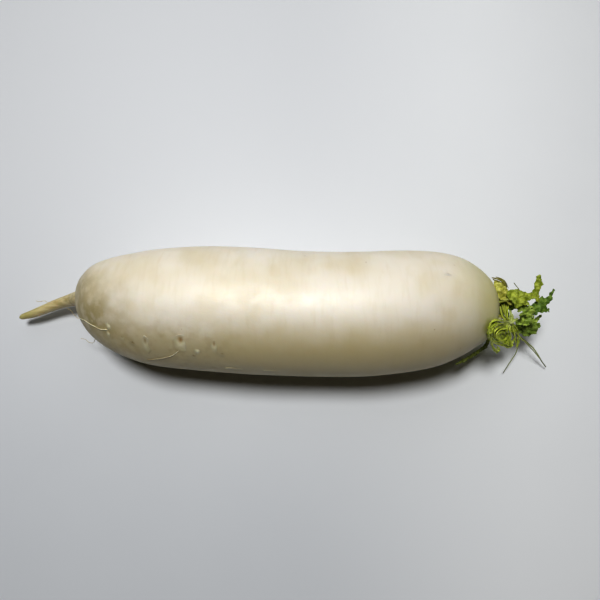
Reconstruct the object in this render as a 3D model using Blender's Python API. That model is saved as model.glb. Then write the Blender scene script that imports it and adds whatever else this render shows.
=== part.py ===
# A white radish lying on its side: the stout root with its tail and side rootlets, the cut crown,
# and the few young leaves that the trimming left. Metres, +Z up. +X runs along the root to the
# leaves, and the origin is in the middle of the flat spot that the root rests on.

import math

import bmesh
import bpy
import numpy as np
from mathutils import Vector

# Root: place along it (x), then how far it leans aside (y), its height (z) and its radius
TAIL = [
    (-0.1787, 0.0018, 0.0110, 0.0011),
    (-0.1768, 0.0024, 0.0110, 0.0019),
    (-0.1686, 0.0048, 0.0115, 0.0028),
    (-0.1560, 0.0096, 0.0128, 0.0034),
    (-0.1480, 0.0118, 0.0145, 0.0038),
    (-0.1400, 0.0128, 0.0180, 0.0047),
]
BODY = [
    (-0.1315, 0.0118, 0.0260, 0.0088),
    (-0.1255, 0.0100, 0.0305, 0.0170),
    (-0.1180, 0.0082, 0.0328, 0.0232),
    (-0.1080, 0.0062, 0.0342, 0.0282),
    (-0.0950, 0.0044, 0.0352, 0.0323),
    (-0.0780, 0.0033, 0.0362, 0.0358),
    (-0.0500, 0.0025, 0.0372, 0.0380),
    (-0.0200, 0.0008, 0.0378, 0.0386),
    (0.0150, -0.0009, 0.0374, 0.0380),
    (0.0450, -0.0010, 0.0374, 0.0380),
    (0.0700, 0.0006, 0.0368, 0.0374),
    (0.0900, 0.0022, 0.0362, 0.0353),
    (0.1040, 0.0034, 0.0368, 0.0311),
    (0.1138, 0.0036, 0.0376, 0.0257),
    (0.1212, 0.0028, 0.0383, 0.0198),
    (0.1253, 0.0029, 0.0388, 0.0131),
]
ROOT_SIDES = 36
RINGS_PER_SPAN = 2
SLANTED_UNDER = 0.004
UPRIGHT_OVER = 0.013

# Socket in the root's upper end, where the leaf crown sits
SOCKET_RADIUS = 0.0092
SOCKET_FLOOR_X = 0.1208
SOCKET_MOUTH_X = 0.1320
SOCKET_SIDES = 24
CROWN_Y = 0.0031
CROWN_Z = 0.0388
GAP = 0.0003
HOLE_ROOM = 0.0004

# Side rootlets: the path of each from inside the root to its free tip
ROOTLETS = [
    [(-0.1040, -0.0120, 0.0560), (-0.1065, -0.0125, 0.0610), (-0.1120, -0.0105, 0.0605),
     (-0.1190, -0.0060, 0.0560), (-0.1260, 0.0000, 0.0480), (-0.1350, 0.0060, 0.0380)],
    [(-0.1080, -0.0190, 0.0230), (-0.1110, -0.0260, 0.0215), (-0.1165, -0.0260, 0.0200),
     (-0.1220, -0.0235, 0.0190)],
    [(-0.1570, 0.0090, 0.0130), (-0.1595, 0.0125, 0.0140), (-0.1640, 0.0140, 0.0135),
     (-0.1700, 0.0145, 0.0130)],
    [(-0.0950, 0.0250, 0.0250), (-0.1000, 0.0350, 0.0240), (-0.1080, 0.0370, 0.0225),
     (-0.1150, 0.0350, 0.0205)],
    [(-0.0500, 0.0320, 0.0250), (-0.0540, 0.0400, 0.0230), (-0.0600, 0.0440, 0.0215),
     (-0.0680, 0.0450, 0.0205)],
]
ROOTLET_BASE = 0.0009
ROOTLET_TIP = 0.0004
ROOTLET_SIDES = 5

# Scars where rootlets came away: place along the root, turn round it from the top, half length
SCARS = [
    (-0.1050, -35, 0.0022), (-0.0810, -47, 0.0022), (-0.0610, -49, 0.0030),
    (-0.0515, -58, 0.0019), (-0.0415, -49, 0.0019),
    (-0.1010, 112, 0.0020), (-0.0760, 118, 0.0022), (-0.0520, 113, 0.0026),
    (-0.0230, 117, 0.0020), (0.0140, 114, 0.0017),
]
SCAR_RISE = 0.0007
SCAR_SIDES = 8

# Leaf crown: the low dome in the socket, and the cut stalk stubs that stand round it
DOME = [(0.1211, 0.0089), (0.1254, 0.0089), (0.1276, 0.0070), (0.1286, 0.0040)]
STUBS = [
    ([(0.1255, 0.0085, 0.0425), (0.1314, 0.0124, 0.0470), (0.1307, 0.0152, 0.0488),
      (0.1278, 0.0174, 0.0496), (0.1234, 0.0186, 0.0494)], (0.0022, 0.0008)),
    ([(0.1255, 0.0082, 0.0425), (0.1292, 0.0112, 0.0448), (0.1290, 0.0142, 0.0466),
      (0.1266, 0.0164, 0.0478)], (0.0034, 0.0015)),
    ([(0.1255, 0.0066, 0.0425), (0.1302, 0.0090, 0.0450), (0.1330, 0.0112, 0.0464)], (0.0032, 0.0024)),
    ([(0.1255, 0.0095, 0.0380), (0.1312, 0.0142, 0.0385), (0.1342, 0.0164, 0.0375)], (0.0030, 0.0022)),
    ([(0.1255, 0.0078, 0.0335), (0.1308, 0.0114, 0.0288), (0.1332, 0.0136, 0.0262)], (0.0030, 0.0022)),
    ([(0.1255, 0.0048, 0.0325), (0.1312, 0.0056, 0.0262), (0.1340, 0.0058, 0.0234)], (0.0030, 0.0022)),
    ([(0.1255, 0.0004, 0.0335), (0.1300, -0.0014, 0.0280), (0.1320, -0.0020, 0.0255)], (0.0028, 0.0020)),
    ([(0.1255, -0.0020, 0.0402), (0.1288, -0.0046, 0.0410), (0.1298, -0.0056, 0.0413)], (0.0026, 0.0020)),
]
STUB_SIDES = 7
STUB_ROWS = 2
SHOULDER_RINGS = 9

# Leaf stalks, from inside the crown outwards, with the radius at the base and at the end
UPPER_STALK = [(0.1255, 0.0040, 0.0440), (0.1300, 0.0050, 0.0474), (0.1348, 0.0062, 0.0496),
               (0.1410, 0.0068, 0.0498), (0.1470, 0.0078, 0.0484)]
DARK_STALK = [(0.1255, 0.0074, 0.0380), (0.1315, 0.0072, 0.0396), (0.1365, 0.0044, 0.0422),
              (0.1422, 0.0016, 0.0430), (0.1479, 0.0008, 0.0430), (0.1545, 0.0028, 0.0432)]
CURLY_STALK = [(0.1255, 0.0024, 0.0358), (0.1320, 0.0016, 0.0348), (0.1385, -0.0016, 0.0332),
               (0.1441, -0.0048, 0.0324), (0.1490, -0.0070, 0.0314), (0.1556, -0.0076, 0.0299)]
TORN_STALK = [(0.1255, 0.0044, 0.0400), (0.1298, 0.0048, 0.0409), (0.1312, 0.0008, 0.0391),
              (0.1324, -0.0037, 0.0392), (0.1364, -0.0067, 0.0398)]
BARE_STALK = [(0.1255, 0.0052, 0.0342), (0.1325, 0.0032, 0.0310), (0.1390, -0.0036, 0.0262),
              (0.1450, -0.0096, 0.0222), (0.1505, -0.0128, 0.0200), (0.1614, -0.0190, 0.0130),
              (0.1692, -0.0273, 0.0072), (0.1729, -0.0306, 0.0040)]
STRAP_STALK = [(0.1255, -0.0012, 0.0358), (0.1290, -0.0038, 0.0314), (0.1283, -0.0074, 0.0252),
               (0.1292, -0.0110, 0.0196), (0.1308, -0.0142, 0.0172)]
LEAF_STALK = (0.0012, 0.0005)
TORN_ENDS = (0.0012, 0.0014)
BARE_ENDS = (0.0011, 0.0005)
STALK_SIDES = 6
STALK_ROWS = 3
HOLE_ROWS = 2 * STALK_ROWS + 1

# Thin strands: the torn stalk's curls, which start in its broken end
TORN_STRANDS = [
    [(0.1363, -0.0063, 0.0402), (0.1301, -0.0073, 0.0460), (0.1234, -0.0084, 0.0539),
     (0.1190, -0.0092, 0.0583), (0.1164, -0.0106, 0.0591), (0.1156, -0.0133, 0.0577),
     (0.1166, -0.0161, 0.0541), (0.1201, -0.0187, 0.0477), (0.1257, -0.0198, 0.0408),
     (0.1321, -0.0201, 0.0340), (0.1384, -0.0203, 0.0279), (0.1420, -0.0190, 0.0257)],
    [(0.1365, -0.0068, 0.0396), (0.1299, -0.0087, 0.0448), (0.1221, -0.0109, 0.0537),
     (0.1187, -0.0134, 0.0550), (0.1190, -0.0158, 0.0519), (0.1226, -0.0179, 0.0450),
     (0.1286, -0.0190, 0.0382)],
    [(0.1361, -0.0074, 0.0396), (0.1321, -0.0109, 0.0419), (0.1263, -0.0126, 0.0467),
     (0.1235, -0.0153, 0.0475), (0.1264, -0.0177, 0.0424), (0.1322, -0.0174, 0.0366),
     (0.1347, -0.0150, 0.0359), (0.1310, -0.0135, 0.0406)],
    [(0.1365, -0.0074, 0.0392), (0.1355, -0.0107, 0.0391), (0.1373, -0.0138, 0.0353),
     (0.1380, -0.0172, 0.0315), (0.1361, -0.0197, 0.0305), (0.1317, -0.0194, 0.0349)],
    [(0.1370, -0.0073, 0.0389), (0.1395, -0.0111, 0.0351), (0.1421, -0.0142, 0.0308),
     (0.1444, -0.0177, 0.0261)],
    [(0.1370, -0.0073, 0.0389), (0.1428, -0.0111, 0.0318), (0.1472, -0.0139, 0.0265),
     (0.1504, -0.0155, 0.0232)],
    [(0.1365, -0.0070, 0.0388), (0.1345, -0.0095, 0.0382), (0.1333, -0.0125, 0.0364),
     (0.1381, -0.0157, 0.0295), (0.1434, -0.0161, 0.0247)],
    [(0.1201, -0.0187, 0.0477), (0.1230, -0.0211, 0.0422), (0.1258, -0.0232, 0.0378),
     (0.1290, -0.0238, 0.0342), (0.1299, -0.0219, 0.0348), (0.1276, -0.0213, 0.0375)],
    [(0.1363, -0.0069, 0.0397), (0.1299, -0.0098, 0.0438), (0.1232, -0.0124, 0.0510),
     (0.1208, -0.0148, 0.0517), (0.1238, -0.0168, 0.0446), (0.1283, -0.0180, 0.0392),
     (0.1342, -0.0186, 0.0331)],
    [(0.1366, -0.0071, 0.0393), (0.1341, -0.0110, 0.0392), (0.1351, -0.0143, 0.0358),
     (0.1329, -0.0177, 0.0350), (0.1280, -0.0184, 0.0392)],
    [(0.1302, 0.0044, 0.0409), (0.1340, 0.0060, 0.0440), (0.1341, 0.0008, 0.0424),
     (0.1340, -0.0038, 0.0412), (0.1362, -0.0066, 0.0402)],
]
STRAND_BASE = 0.0008
STRAND_TIP = 0.0005
STRAND_SIDES = 5
STRAND_ROWS = 2
TORN_KNOT = 0.0019

# Thin strands: side shoots of the bare stalk
BARE_STRANDS = [
    [(0.1450, -0.0096, 0.0222), (0.1520, -0.0154, 0.0212), (0.1610, -0.0216, 0.0146),
     (0.1692, -0.0273, 0.0072)],
    [(0.1410, -0.0058, 0.0248), (0.1472, -0.0130, 0.0196), (0.1505, -0.0173, 0.0155),
     (0.1508, -0.0218, 0.0110), (0.1487, -0.0268, 0.0070), (0.1445, -0.0343, 0.0030)],
]

# Blades: each stroke runs from one (x, y, z, half width) to the next, and strokes melt together
UPPER_BLADE = [
    [(0.1337, 0.0082, 0.0500, 0.0028), (0.1377, 0.0067, 0.0502, 0.0045)],
    [(0.1377, 0.0067, 0.0502, 0.0045), (0.1438, 0.0070, 0.0492, 0.0022)],
    [(0.1438, 0.0072, 0.0490, 0.0020), (0.1490, 0.0082, 0.0480, 0.0015)],
    [(0.1504, 0.0056, 0.0465, 0.0012), (0.1494, 0.0101, 0.0480, 0.0016)],
    [(0.1494, 0.0101, 0.0480, 0.0016), (0.1504, 0.0146, 0.0505, 0.0020)],
    [(0.1504, 0.0146, 0.0505, 0.0020), (0.1502, 0.0186, 0.0525, 0.0012)],
    [(0.1397, 0.0040, 0.0494, 0.0021), (0.1438, 0.0029, 0.0476, 0.0012)],
    [(0.1362, 0.0044, 0.0496, 0.0020), (0.1368, 0.0015, 0.0480, 0.0014)],
]
DARK_BLADE = [
    [(0.1352, 0.0058, 0.0414, 0.0016), (0.1385, 0.0032, 0.0424, 0.0013)],
    [(0.1422, 0.0014, 0.0430, 0.0016), (0.1479, 0.0005, 0.0430, 0.0022)],
    [(0.1479, 0.0005, 0.0430, 0.0022), (0.1530, 0.0024, 0.0430, 0.0034)],
    [(0.1530, 0.0024, 0.0430, 0.0030), (0.1585, 0.0068, 0.0455, 0.0016)],
    [(0.1585, 0.0068, 0.0455, 0.0016), (0.1597, 0.0111, 0.0480, 0.0009)],
    [(0.1548, 0.0008, 0.0420, 0.0018), (0.1595, 0.0005, 0.0405, 0.0010)],
    [(0.1536, 0.0042, 0.0435, 0.0016), (0.1548, 0.0067, 0.0445, 0.0012)],
    [(0.1475, 0.0000, 0.0422, 0.0020), (0.1505, -0.0014, 0.0412, 0.0014)],
]
CURLY_BLADE = [
    [(0.1342, 0.0026, 0.0350, 0.0016), (0.1368, 0.0000, 0.0342, 0.0018)],
    [(0.1441, -0.0054, 0.0322, 0.0016), (0.1488, -0.0072, 0.0310, 0.0028)],
    [(0.1488, -0.0072, 0.0310, 0.0028), (0.1542, -0.0081, 0.0300, 0.0030)],
    [(0.1542, -0.0078, 0.0300, 0.0026), (0.1583, -0.0069, 0.0290, 0.0016)],
    [(0.1463, -0.0020, 0.0362, 0.0018), (0.1496, -0.0034, 0.0356, 0.0026)],
    [(0.1496, -0.0034, 0.0356, 0.0026), (0.1515, -0.0062, 0.0325, 0.0026)],
    [(0.1545, -0.0048, 0.0318, 0.0014), (0.1580, -0.0018, 0.0330, 0.0008)],
    [(0.1517, -0.0098, 0.0285, 0.0022), (0.1561, -0.0107, 0.0265, 0.0015)],
    [(0.1498, -0.0088, 0.0285, 0.0018), (0.1500, -0.0126, 0.0256, 0.0013)],
]
STRAP_BLADE = [
    [(0.1308, -0.0140, 0.0172, 0.0013), (0.1280, -0.0192, 0.0184, 0.0016)],
    [(0.1280, -0.0192, 0.0184, 0.0016), (0.1183, -0.0239, 0.0250, 0.0014)],
    [(0.1183, -0.0239, 0.0250, 0.0014), (0.1104, -0.0282, 0.0290, 0.0012)],
]
TORN_BLADE = [
    [(0.1363, -0.0074, 0.0390, 0.0016), (0.1321, -0.0104, 0.0406, 0.0020)],
    [(0.1321, -0.0104, 0.0406, 0.0020), (0.1274, -0.0138, 0.0430, 0.0019)],
    [(0.1274, -0.0138, 0.0430, 0.0019), (0.1294, -0.0166, 0.0392, 0.0022)],
    [(0.1294, -0.0166, 0.0392, 0.0022), (0.1375, -0.0178, 0.0306, 0.0019)],
]
BLADE_THICKNESS = 0.0007
BLADE_GRID = 0.0013
EDGE_MELT = 0.0004
HEIGHT_MELT = 0.0012
EDGE_SNAP = 0.3
NOTCH_DEPTH = 0.00035
NOTCH_PITCH = 0.0026
RUFFLE_RISE = 0.0006
RUFFLE_PITCH = 0.0060


def clear_scene():
    for found in list(bpy.data.objects):
        bpy.data.objects.remove(found)


def material(name, colour, roughness):
    made = bpy.data.materials.new(name)
    made.use_nodes = True
    shader = made.node_tree.nodes["Principled BSDF"]
    shader.inputs["Base Color"].default_value = (*colour, 1.0)
    shader.inputs["Roughness"].default_value = roughness
    shader.inputs["Metallic"].default_value = 0.0
    return made


def smooth_path(points, per_span):
    """Rows read from one smooth curve through the given rows."""
    rows = [np.array(point, float) for point in points]
    rows = [2 * rows[0] - rows[1], *rows, 2 * rows[-1] - rows[-2]]
    found = []
    for before, start, end, after in zip(rows, rows[1:], rows[2:], rows[3:]):
        for step in range(per_span):
            t = step / per_span
            bend = (2 * before - 5 * start + 4 * end - after) * t * t
            twist = (3 * start - before - 3 * end + after) * t * t * t
            found.append(0.5 * (2 * start + (end - before) * t + bend + twist))
    found.append(rows[-2])
    return np.array(found)


def ring_points(centre, along, up, radius, sides):
    """Points round a centre, in the plane square to the given direction."""
    side = along.cross(up).normalized()
    rise = side.cross(along).normalized()
    turns = [2 * math.pi * number / sides for number in range(sides)]
    return [centre + (rise * math.cos(turn) + side * math.sin(turn)) * radius for turn in turns]


def skin_rings(mesh, rings):
    """Walls between neighbouring rings, and a fan over each end."""
    sides = len(rings[0])
    corners = [[mesh.verts.new(point) for point in ring] for ring in rings]
    for low, high in zip(corners, corners[1:]):
        for number in range(sides):
            after = (number + 1) % sides
            mesh.faces.new((low[number], low[after], high[after], high[number]))
    for ring in (corners[0], corners[-1]):
        middle = mesh.verts.new(sum((vert.co for vert in ring), Vector()) / sides)
        for number in range(sides):
            mesh.faces.new((ring[number], ring[(number + 1) % sides], middle))
    bmesh.ops.recalc_face_normals(mesh, faces=mesh.faces)


def object_of(name, mesh, finish):
    bmesh.ops.triangulate(mesh, faces=mesh.faces)
    data = bpy.data.meshes.new(name)
    mesh.to_mesh(data)
    mesh.free()
    data.materials.append(finish)
    data.shade_smooth()
    made = bpy.data.objects.new(name, data)
    bpy.context.scene.collection.objects.link(made)
    return made


def tube(name, path, radii, sides, finish):
    """A closed round tube along a path, with a radius at each of its points."""
    mesh = bmesh.new()
    points = [Vector(point) for point in path]
    rings = []
    up = Vector((0, 0, 1))
    for number, point in enumerate(points):
        ahead = points[min(number + 1, len(points) - 1)]
        along = (ahead - points[max(number - 1, 0)]).normalized()
        if abs(along.dot(up)) > 0.98:
            up = Vector((0, 1, 0))
        up = (up - along * up.dot(along)).normalized()
        rings.append(ring_points(point, along, up, float(radii[number]), sides))
    skin_rings(mesh, rings)
    return object_of(name, mesh, finish)


def stalk(name, route, per_span, ends, sides, finish):
    """A tube along the smooth curve through a route, tapering from one end radius to the other."""
    path = smooth_path(route, per_span)
    return tube(name, path, np.linspace(*ends, len(path)), sides, finish)


def hole(route, ends, finish):
    """The room that a leaf stalk needs where it leaves the crown: its own first stretch, made wider."""
    path = smooth_path(route, STALK_ROWS)
    radii = np.linspace(*ends, len(path)) + HOLE_ROOM
    back = path[0] - path[1]
    path[0] += back * (HOLE_ROOM / np.linalg.norm(back))
    return tube("hole", path[:HOLE_ROWS], radii[:HOLE_ROWS], STALK_SIDES, finish)


def disc(name, near_x, far_x, radius, finish):
    """A round plug that lies along X about the crown's middle."""
    path = [(x, CROWN_Y, CROWN_Z) for x in np.linspace(near_x, far_x, 2)]
    return tube(name, path, (radius, radius), SOCKET_SIDES, finish)


def boolean(kept, operation, others):
    """Joins the others to a piece, or cuts them from it, and removes them."""
    helpers = bpy.data.collections.new("helpers")
    bpy.context.scene.collection.children.link(helpers)
    for other in others:
        bpy.context.scene.collection.objects.unlink(other)
        helpers.objects.link(other)
    step = kept.modifiers.new(operation.lower(), "BOOLEAN")
    step.operation = operation
    step.operand_type = "COLLECTION"
    step.collection = helpers
    step.solver = "MANIFOLD"
    graph = bpy.context.evaluated_depsgraph_get()
    result = bpy.data.meshes.new_from_object(kept.evaluated_get(graph))
    result.name = kept.name
    kept.modifiers.clear()
    kept.data = result
    for other in others:
        bpy.data.objects.remove(other)
    bpy.data.collections.remove(helpers)
    return kept


def smooth_step(value, low, high):
    share = min(max((value - low) / (high - low), 0.0), 1.0)
    return share * share * (3 - 2 * share)


def root_rings(extra=0.0):
    """Rings of the root: square to its own line in the thin tail, upright in the stout body."""
    rows = smooth_path(TAIL + BODY, RINGS_PER_SPAN)
    rings = []
    for number, row in enumerate(rows):
        radius = float(row[3]) + extra
        ahead = rows[min(number + 1, len(rows) - 1)][:3] - rows[max(number - 1, 0)][:3]
        upright = smooth_step(radius, SLANTED_UNDER, UPRIGHT_OVER)
        along = Vector(ahead).normalized().lerp(Vector((1, 0, 0)), upright).normalized()
        rings.append(ring_points(Vector(row[:3]), along, Vector((0, 0, 1)), radius, ROOT_SIDES))
    return rings


def rest_flat(mesh):
    """Cuts the underside level, which leaves the small flat spot that the root rests on."""
    everything = mesh.verts[:] + mesh.edges[:] + mesh.faces[:]
    cut = bmesh.ops.bisect_plane(mesh, geom=everything, plane_co=(0, 0, 0), plane_no=(0, 0, 1),
                                 clear_inner=True)
    rim = [item for item in cut["geom_cut"] if isinstance(item, bmesh.types.BMEdge)]
    bmesh.ops.contextual_create(mesh, geom=rim)
    bmesh.ops.recalc_face_normals(mesh, faces=mesh.faces)


def on_root(x, turn):
    """The point of the root's skin at a place along it, at a turn from the top, and its outward way."""
    rows = smooth_path(BODY, RINGS_PER_SPAN)
    y, z, radius = (np.interp(x, rows[:, 0], rows[:, column]) for column in (1, 2, 3))
    outward = Vector((0, math.sin(math.radians(turn)), math.cos(math.radians(turn))))
    return Vector((x, y, z)) + outward * float(radius), outward


def scar(name, x, turn, half_length, finish):
    """A low lens of skin that runs round the root, more than half sunk in it."""
    place, outward = on_root(x, turn)
    round_way = outward.cross(Vector((1, 0, 0)))
    mesh = bmesh.new()
    bmesh.ops.create_uvsphere(mesh, u_segments=SCAR_SIDES, v_segments=SCAR_SIDES // 2, radius=1.0)
    for vert in mesh.verts:
        along, around, rise = vert.co
        vert.co = (place + Vector((1, 0, 0)) * (along * half_length * 0.7)
                   + round_way * (around * half_length) + outward * (rise * SCAR_RISE))
    return object_of(name, mesh, finish)


def root_object(finish):
    mesh = bmesh.new()
    skin_rings(mesh, root_rings())
    rest_flat(mesh)
    made = object_of("root", mesh, finish)
    boolean(made, "DIFFERENCE", [disc("socket", SOCKET_FLOOR_X, SOCKET_MOUTH_X, SOCKET_RADIUS, finish)])
    grown = [stalk("rootlet", route, 3, (ROOTLET_BASE, ROOTLET_TIP), ROOTLET_SIDES, finish)
             for route in ROOTLETS]
    grown += [scar("scar", *place, finish) for place in SCARS]
    return boolean(made, "UNION", grown)


def shoulder(finish):
    """The root's upper end a gap too large, with a socket a gap too small: what the crown keeps clear of."""
    mesh = bmesh.new()
    skin_rings(mesh, root_rings(GAP)[-SHOULDER_RINGS:])
    bmesh.ops.translate(mesh, verts=mesh.verts, vec=(GAP, 0, 0))
    made = object_of("shoulder", mesh, finish)
    socket = disc("socket", SOCKET_FLOOR_X + GAP, SOCKET_MOUTH_X, SOCKET_RADIUS - GAP, finish)
    return boolean(made, "DIFFERENCE", [socket])


def crown_object(finish, stalks):
    """The dome with its stubs, with room left round each leaf stalk that stands in it."""
    path = [(x, CROWN_Y, CROWN_Z) for x, radius in DOME]
    made = tube("leaf_crown", path, [radius for x, radius in DOME], SOCKET_SIDES, finish)
    stubs = [stalk("stub", route, STUB_ROWS, ends, STUB_SIDES, finish) for route, ends in STUBS]
    boolean(made, "UNION", stubs)
    boolean(made, "DIFFERENCE", [shoulder(finish)])
    return boolean(made, "DIFFERENCE", [hole(route, ends, finish) for route, ends in stalks])


def stroke_depth(x, y, strokes):
    """How deep inside the melted strokes each plan point lies, and the height of the blade there."""
    depths, heights = [], []
    for (x0, y0, z0, half0), (x1, y1, z1, half1) in strokes:
        run, climb = x1 - x0, y1 - y0
        length = math.hypot(run, climb)
        share = np.clip(((x - x0) * run + (y - y0) * climb) / length ** 2, 0, 1)
        away = np.hypot(x - x0 - share * run, y - y0 - share * climb)
        notch = NOTCH_DEPTH * np.cos(2 * math.pi * share * length / NOTCH_PITCH)
        depths.append(half0 + share * (half1 - half0) + notch - away)
        heights.append(z0 + share * (z1 - z0))
    depths = np.array(depths)
    deepest = depths.max(axis=0)
    melted = EDGE_MELT * np.log(np.exp((depths - deepest) / EDGE_MELT).sum(axis=0))
    shares = np.exp((depths - deepest) / HEIGHT_MELT)
    height = (shares * heights).sum(axis=0) / shares.sum(axis=0)
    wave = 2 * math.pi / RUFFLE_PITCH
    ruffle = RUFFLE_RISE * np.sin(wave * (x + 0.6 * y)) * np.cos(wave * (0.8 * y - 0.3 * x))
    return deepest + melted, height + ruffle


def plan_grid(strokes, spacing):
    """A triangular grid over the strokes: its points, and the three corners of each triangle."""
    ends = np.array([end for stroke in strokes for end in stroke])
    low = (ends[:, :2] - ends[:, 3:]).min(axis=0) - 2 * spacing
    high = (ends[:, :2] + ends[:, 3:]).max(axis=0) + 2 * spacing
    columns = int((high[0] - low[0]) / spacing) + 2
    rows = int((high[1] - low[1]) / (spacing * math.sqrt(0.75))) + 2
    row, column = np.mgrid[0:rows, 0:columns]
    x = low[0] + spacing * (column + 0.5 * (row % 2))
    y = low[1] + spacing * math.sqrt(0.75) * row
    triangles = []
    for r in range(rows - 1):
        for c in range(columns - 1):
            a, b = r * columns + c, r * columns + c + 1
            d, e = a + columns, b + columns
            triangles += [(a, b, d), (b, e, d)] if r % 2 == 0 else [(a, b, e), (a, e, d)]
    return x.ravel(), y.ravel(), triangles


def snap_to_edge(x, y, strokes, spacing):
    """Moves the grid points nearest the blade's edge onto it, so that no thin slivers are cut."""
    nudge = spacing / 50
    depth = stroke_depth(x, y, strokes)[0]
    slope_x = (stroke_depth(x + nudge, y, strokes)[0] - depth) / nudge
    slope_y = (stroke_depth(x, y + nudge, strokes)[0] - depth) / nudge
    steep = slope_x ** 2 + slope_y ** 2
    near = (abs(depth) < EDGE_SNAP * spacing) & (steep > 0.3)
    x = np.where(near, x - depth * slope_x / np.maximum(steep, 0.3), x)
    y = np.where(near, y - depth * slope_y / np.maximum(steep, 0.3), y)
    return x, y, np.where(near, 0.0, stroke_depth(x, y, strokes)[0])


def clipped_plan(strokes, spacing):
    """The blade in plan: points, and triangles clipped at its edge."""
    x, y, triangles = plan_grid(strokes, spacing)
    x, y, depth = snap_to_edge(x, y, strokes, spacing)
    points = list(zip(x, y))
    crossings = {}

    def crossing(a, b):
        pair = (min(a, b), max(a, b))
        if pair not in crossings:
            share = depth[a] / (depth[a] - depth[b])
            crossings[pair] = len(points)
            points.append((x[a] + share * (x[b] - x[a]), y[a] + share * (y[b] - y[a])))
        return crossings[pair]

    faces = []
    for triangle in triangles:
        if max(depth[corner] for corner in triangle) <= 0:
            continue
        outline = []
        for a, b in zip(triangle, triangle[1:] + triangle[:1]):
            if depth[a] >= 0:
                outline.append(a)
            if depth[a] * depth[b] < 0:
                outline.append(crossing(a, b))
        faces += [(outline[0], outline[n], outline[n + 1]) for n in range(1, len(outline) - 1)]
    return np.array(points), np.array(faces)


def blade(name, strokes, finish):
    """A thin lobed sheet that follows its strokes, with both faces split into triangles alike."""
    plan, faces = clipped_plan(strokes, BLADE_GRID)
    used, faces = np.unique(faces, return_inverse=True)
    faces = faces.reshape(-1, 3)
    plan = plan[used]
    height = stroke_depth(plan[:, 0], plan[:, 1], strokes)[1]
    sheet = np.column_stack([plan, height])
    normals = np.zeros_like(sheet)
    across = np.cross(sheet[faces[:, 1]] - sheet[faces[:, 0]], sheet[faces[:, 2]] - sheet[faces[:, 0]])
    for corner in range(3):
        np.add.at(normals, faces[:, corner], across)
    normals *= 0.5 * BLADE_THICKNESS / np.linalg.norm(normals, axis=1, keepdims=True)
    mesh = bmesh.new()
    upper = [mesh.verts.new(point) for point in sheet + normals]
    lower = [mesh.verts.new(point) for point in sheet - normals]
    edges = {(a, b) for face in faces for a, b in zip(face, np.roll(face, -1))}
    for a, b, c in faces:
        mesh.faces.new((upper[a], upper[b], upper[c]))
        mesh.faces.new((lower[c], lower[b], lower[a]))
    for a, b in edges:
        if (b, a) not in edges:
            mesh.faces.new((upper[b], upper[a], lower[a], lower[b]))
    return object_of(name, mesh, finish)


def knot(name, place, radius, finish):
    mesh = bmesh.new()
    bmesh.ops.create_icosphere(mesh, subdivisions=2, radius=radius)
    bmesh.ops.translate(mesh, verts=mesh.verts, vec=place)
    return object_of(name, mesh, finish)


def leaf(name, route, ends, strokes, finish):
    """A leaf: its stalk runs on as the rib, sunk in its blade."""
    made = stalk(name, route, STALK_ROWS, ends, STALK_SIDES, finish)
    return boolean(made, "UNION", [blade("blade", strokes, finish)])


def torn_object(finish, ends):
    """A stalk torn into curled strands, which start in the knot at its broken end."""
    made = stalk("torn_stalk", TORN_STALK, STALK_ROWS, ends, STALK_SIDES, finish)
    strands = [stalk("strand", route, STRAND_ROWS, (STRAND_BASE, STRAND_TIP), STRAND_SIDES, finish)
               for route in TORN_STRANDS]
    lump = knot("knot", TORN_STALK[-1], TORN_KNOT, finish)
    return boolean(made, "UNION", strands + [lump, blade("blade", TORN_BLADE, finish)])


def bare_object(finish, ends):
    """A thin stalk with no blade left, and its side shoots."""
    made = stalk("bare_stalk", BARE_STALK, STALK_ROWS, ends, STALK_SIDES, finish)
    strands = [stalk("strand", route, STRAND_ROWS, (STRAND_BASE, STRAND_TIP), STRAND_SIDES, finish)
               for route in BARE_STRANDS]
    return boolean(made, "UNION", strands)


def main():
    clear_scene()
    skin = material("root_skin", (0.86, 0.83, 0.70), 0.42)
    crown_green = material("crown_green", (0.42, 0.46, 0.10), 0.5)
    young_leaf = material("young_leaf", (0.25, 0.36, 0.05), 0.5)
    dark_leaf = material("dark_leaf", (0.10, 0.20, 0.03), 0.5)
    pale_stalk = material("pale_stalk", (0.45, 0.55, 0.20), 0.45)
    root_object(skin)
    crown_object(crown_green, [
        (UPPER_STALK, LEAF_STALK), (DARK_STALK, LEAF_STALK), (CURLY_STALK, LEAF_STALK),
        (TORN_STALK, TORN_ENDS), (BARE_STALK, BARE_ENDS), (STRAP_STALK, LEAF_STALK)])
    leaf("upper_leaf", UPPER_STALK, LEAF_STALK, UPPER_BLADE, young_leaf)
    leaf("dark_leaf", DARK_STALK, LEAF_STALK, DARK_BLADE, dark_leaf)
    leaf("curly_leaf", CURLY_STALK, LEAF_STALK, CURLY_BLADE, dark_leaf)
    leaf("strap_leaf", STRAP_STALK, LEAF_STALK, STRAP_BLADE, young_leaf)
    torn_object(pale_stalk, TORN_ENDS)
    bare_object(pale_stalk, BARE_ENDS)


main()
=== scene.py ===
# The dressed white radish: a fine skin over the imported root, the crown with its cut stubs, the leaves
# with their veins and crumpled edges, the torn fibres and the fine hairs. Metres, +Z up, in the frame
# of the part. Every list of places is written in tenths of a millimetre.

import math

import bmesh
import bpy
import numpy as np
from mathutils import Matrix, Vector, noise


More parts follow.
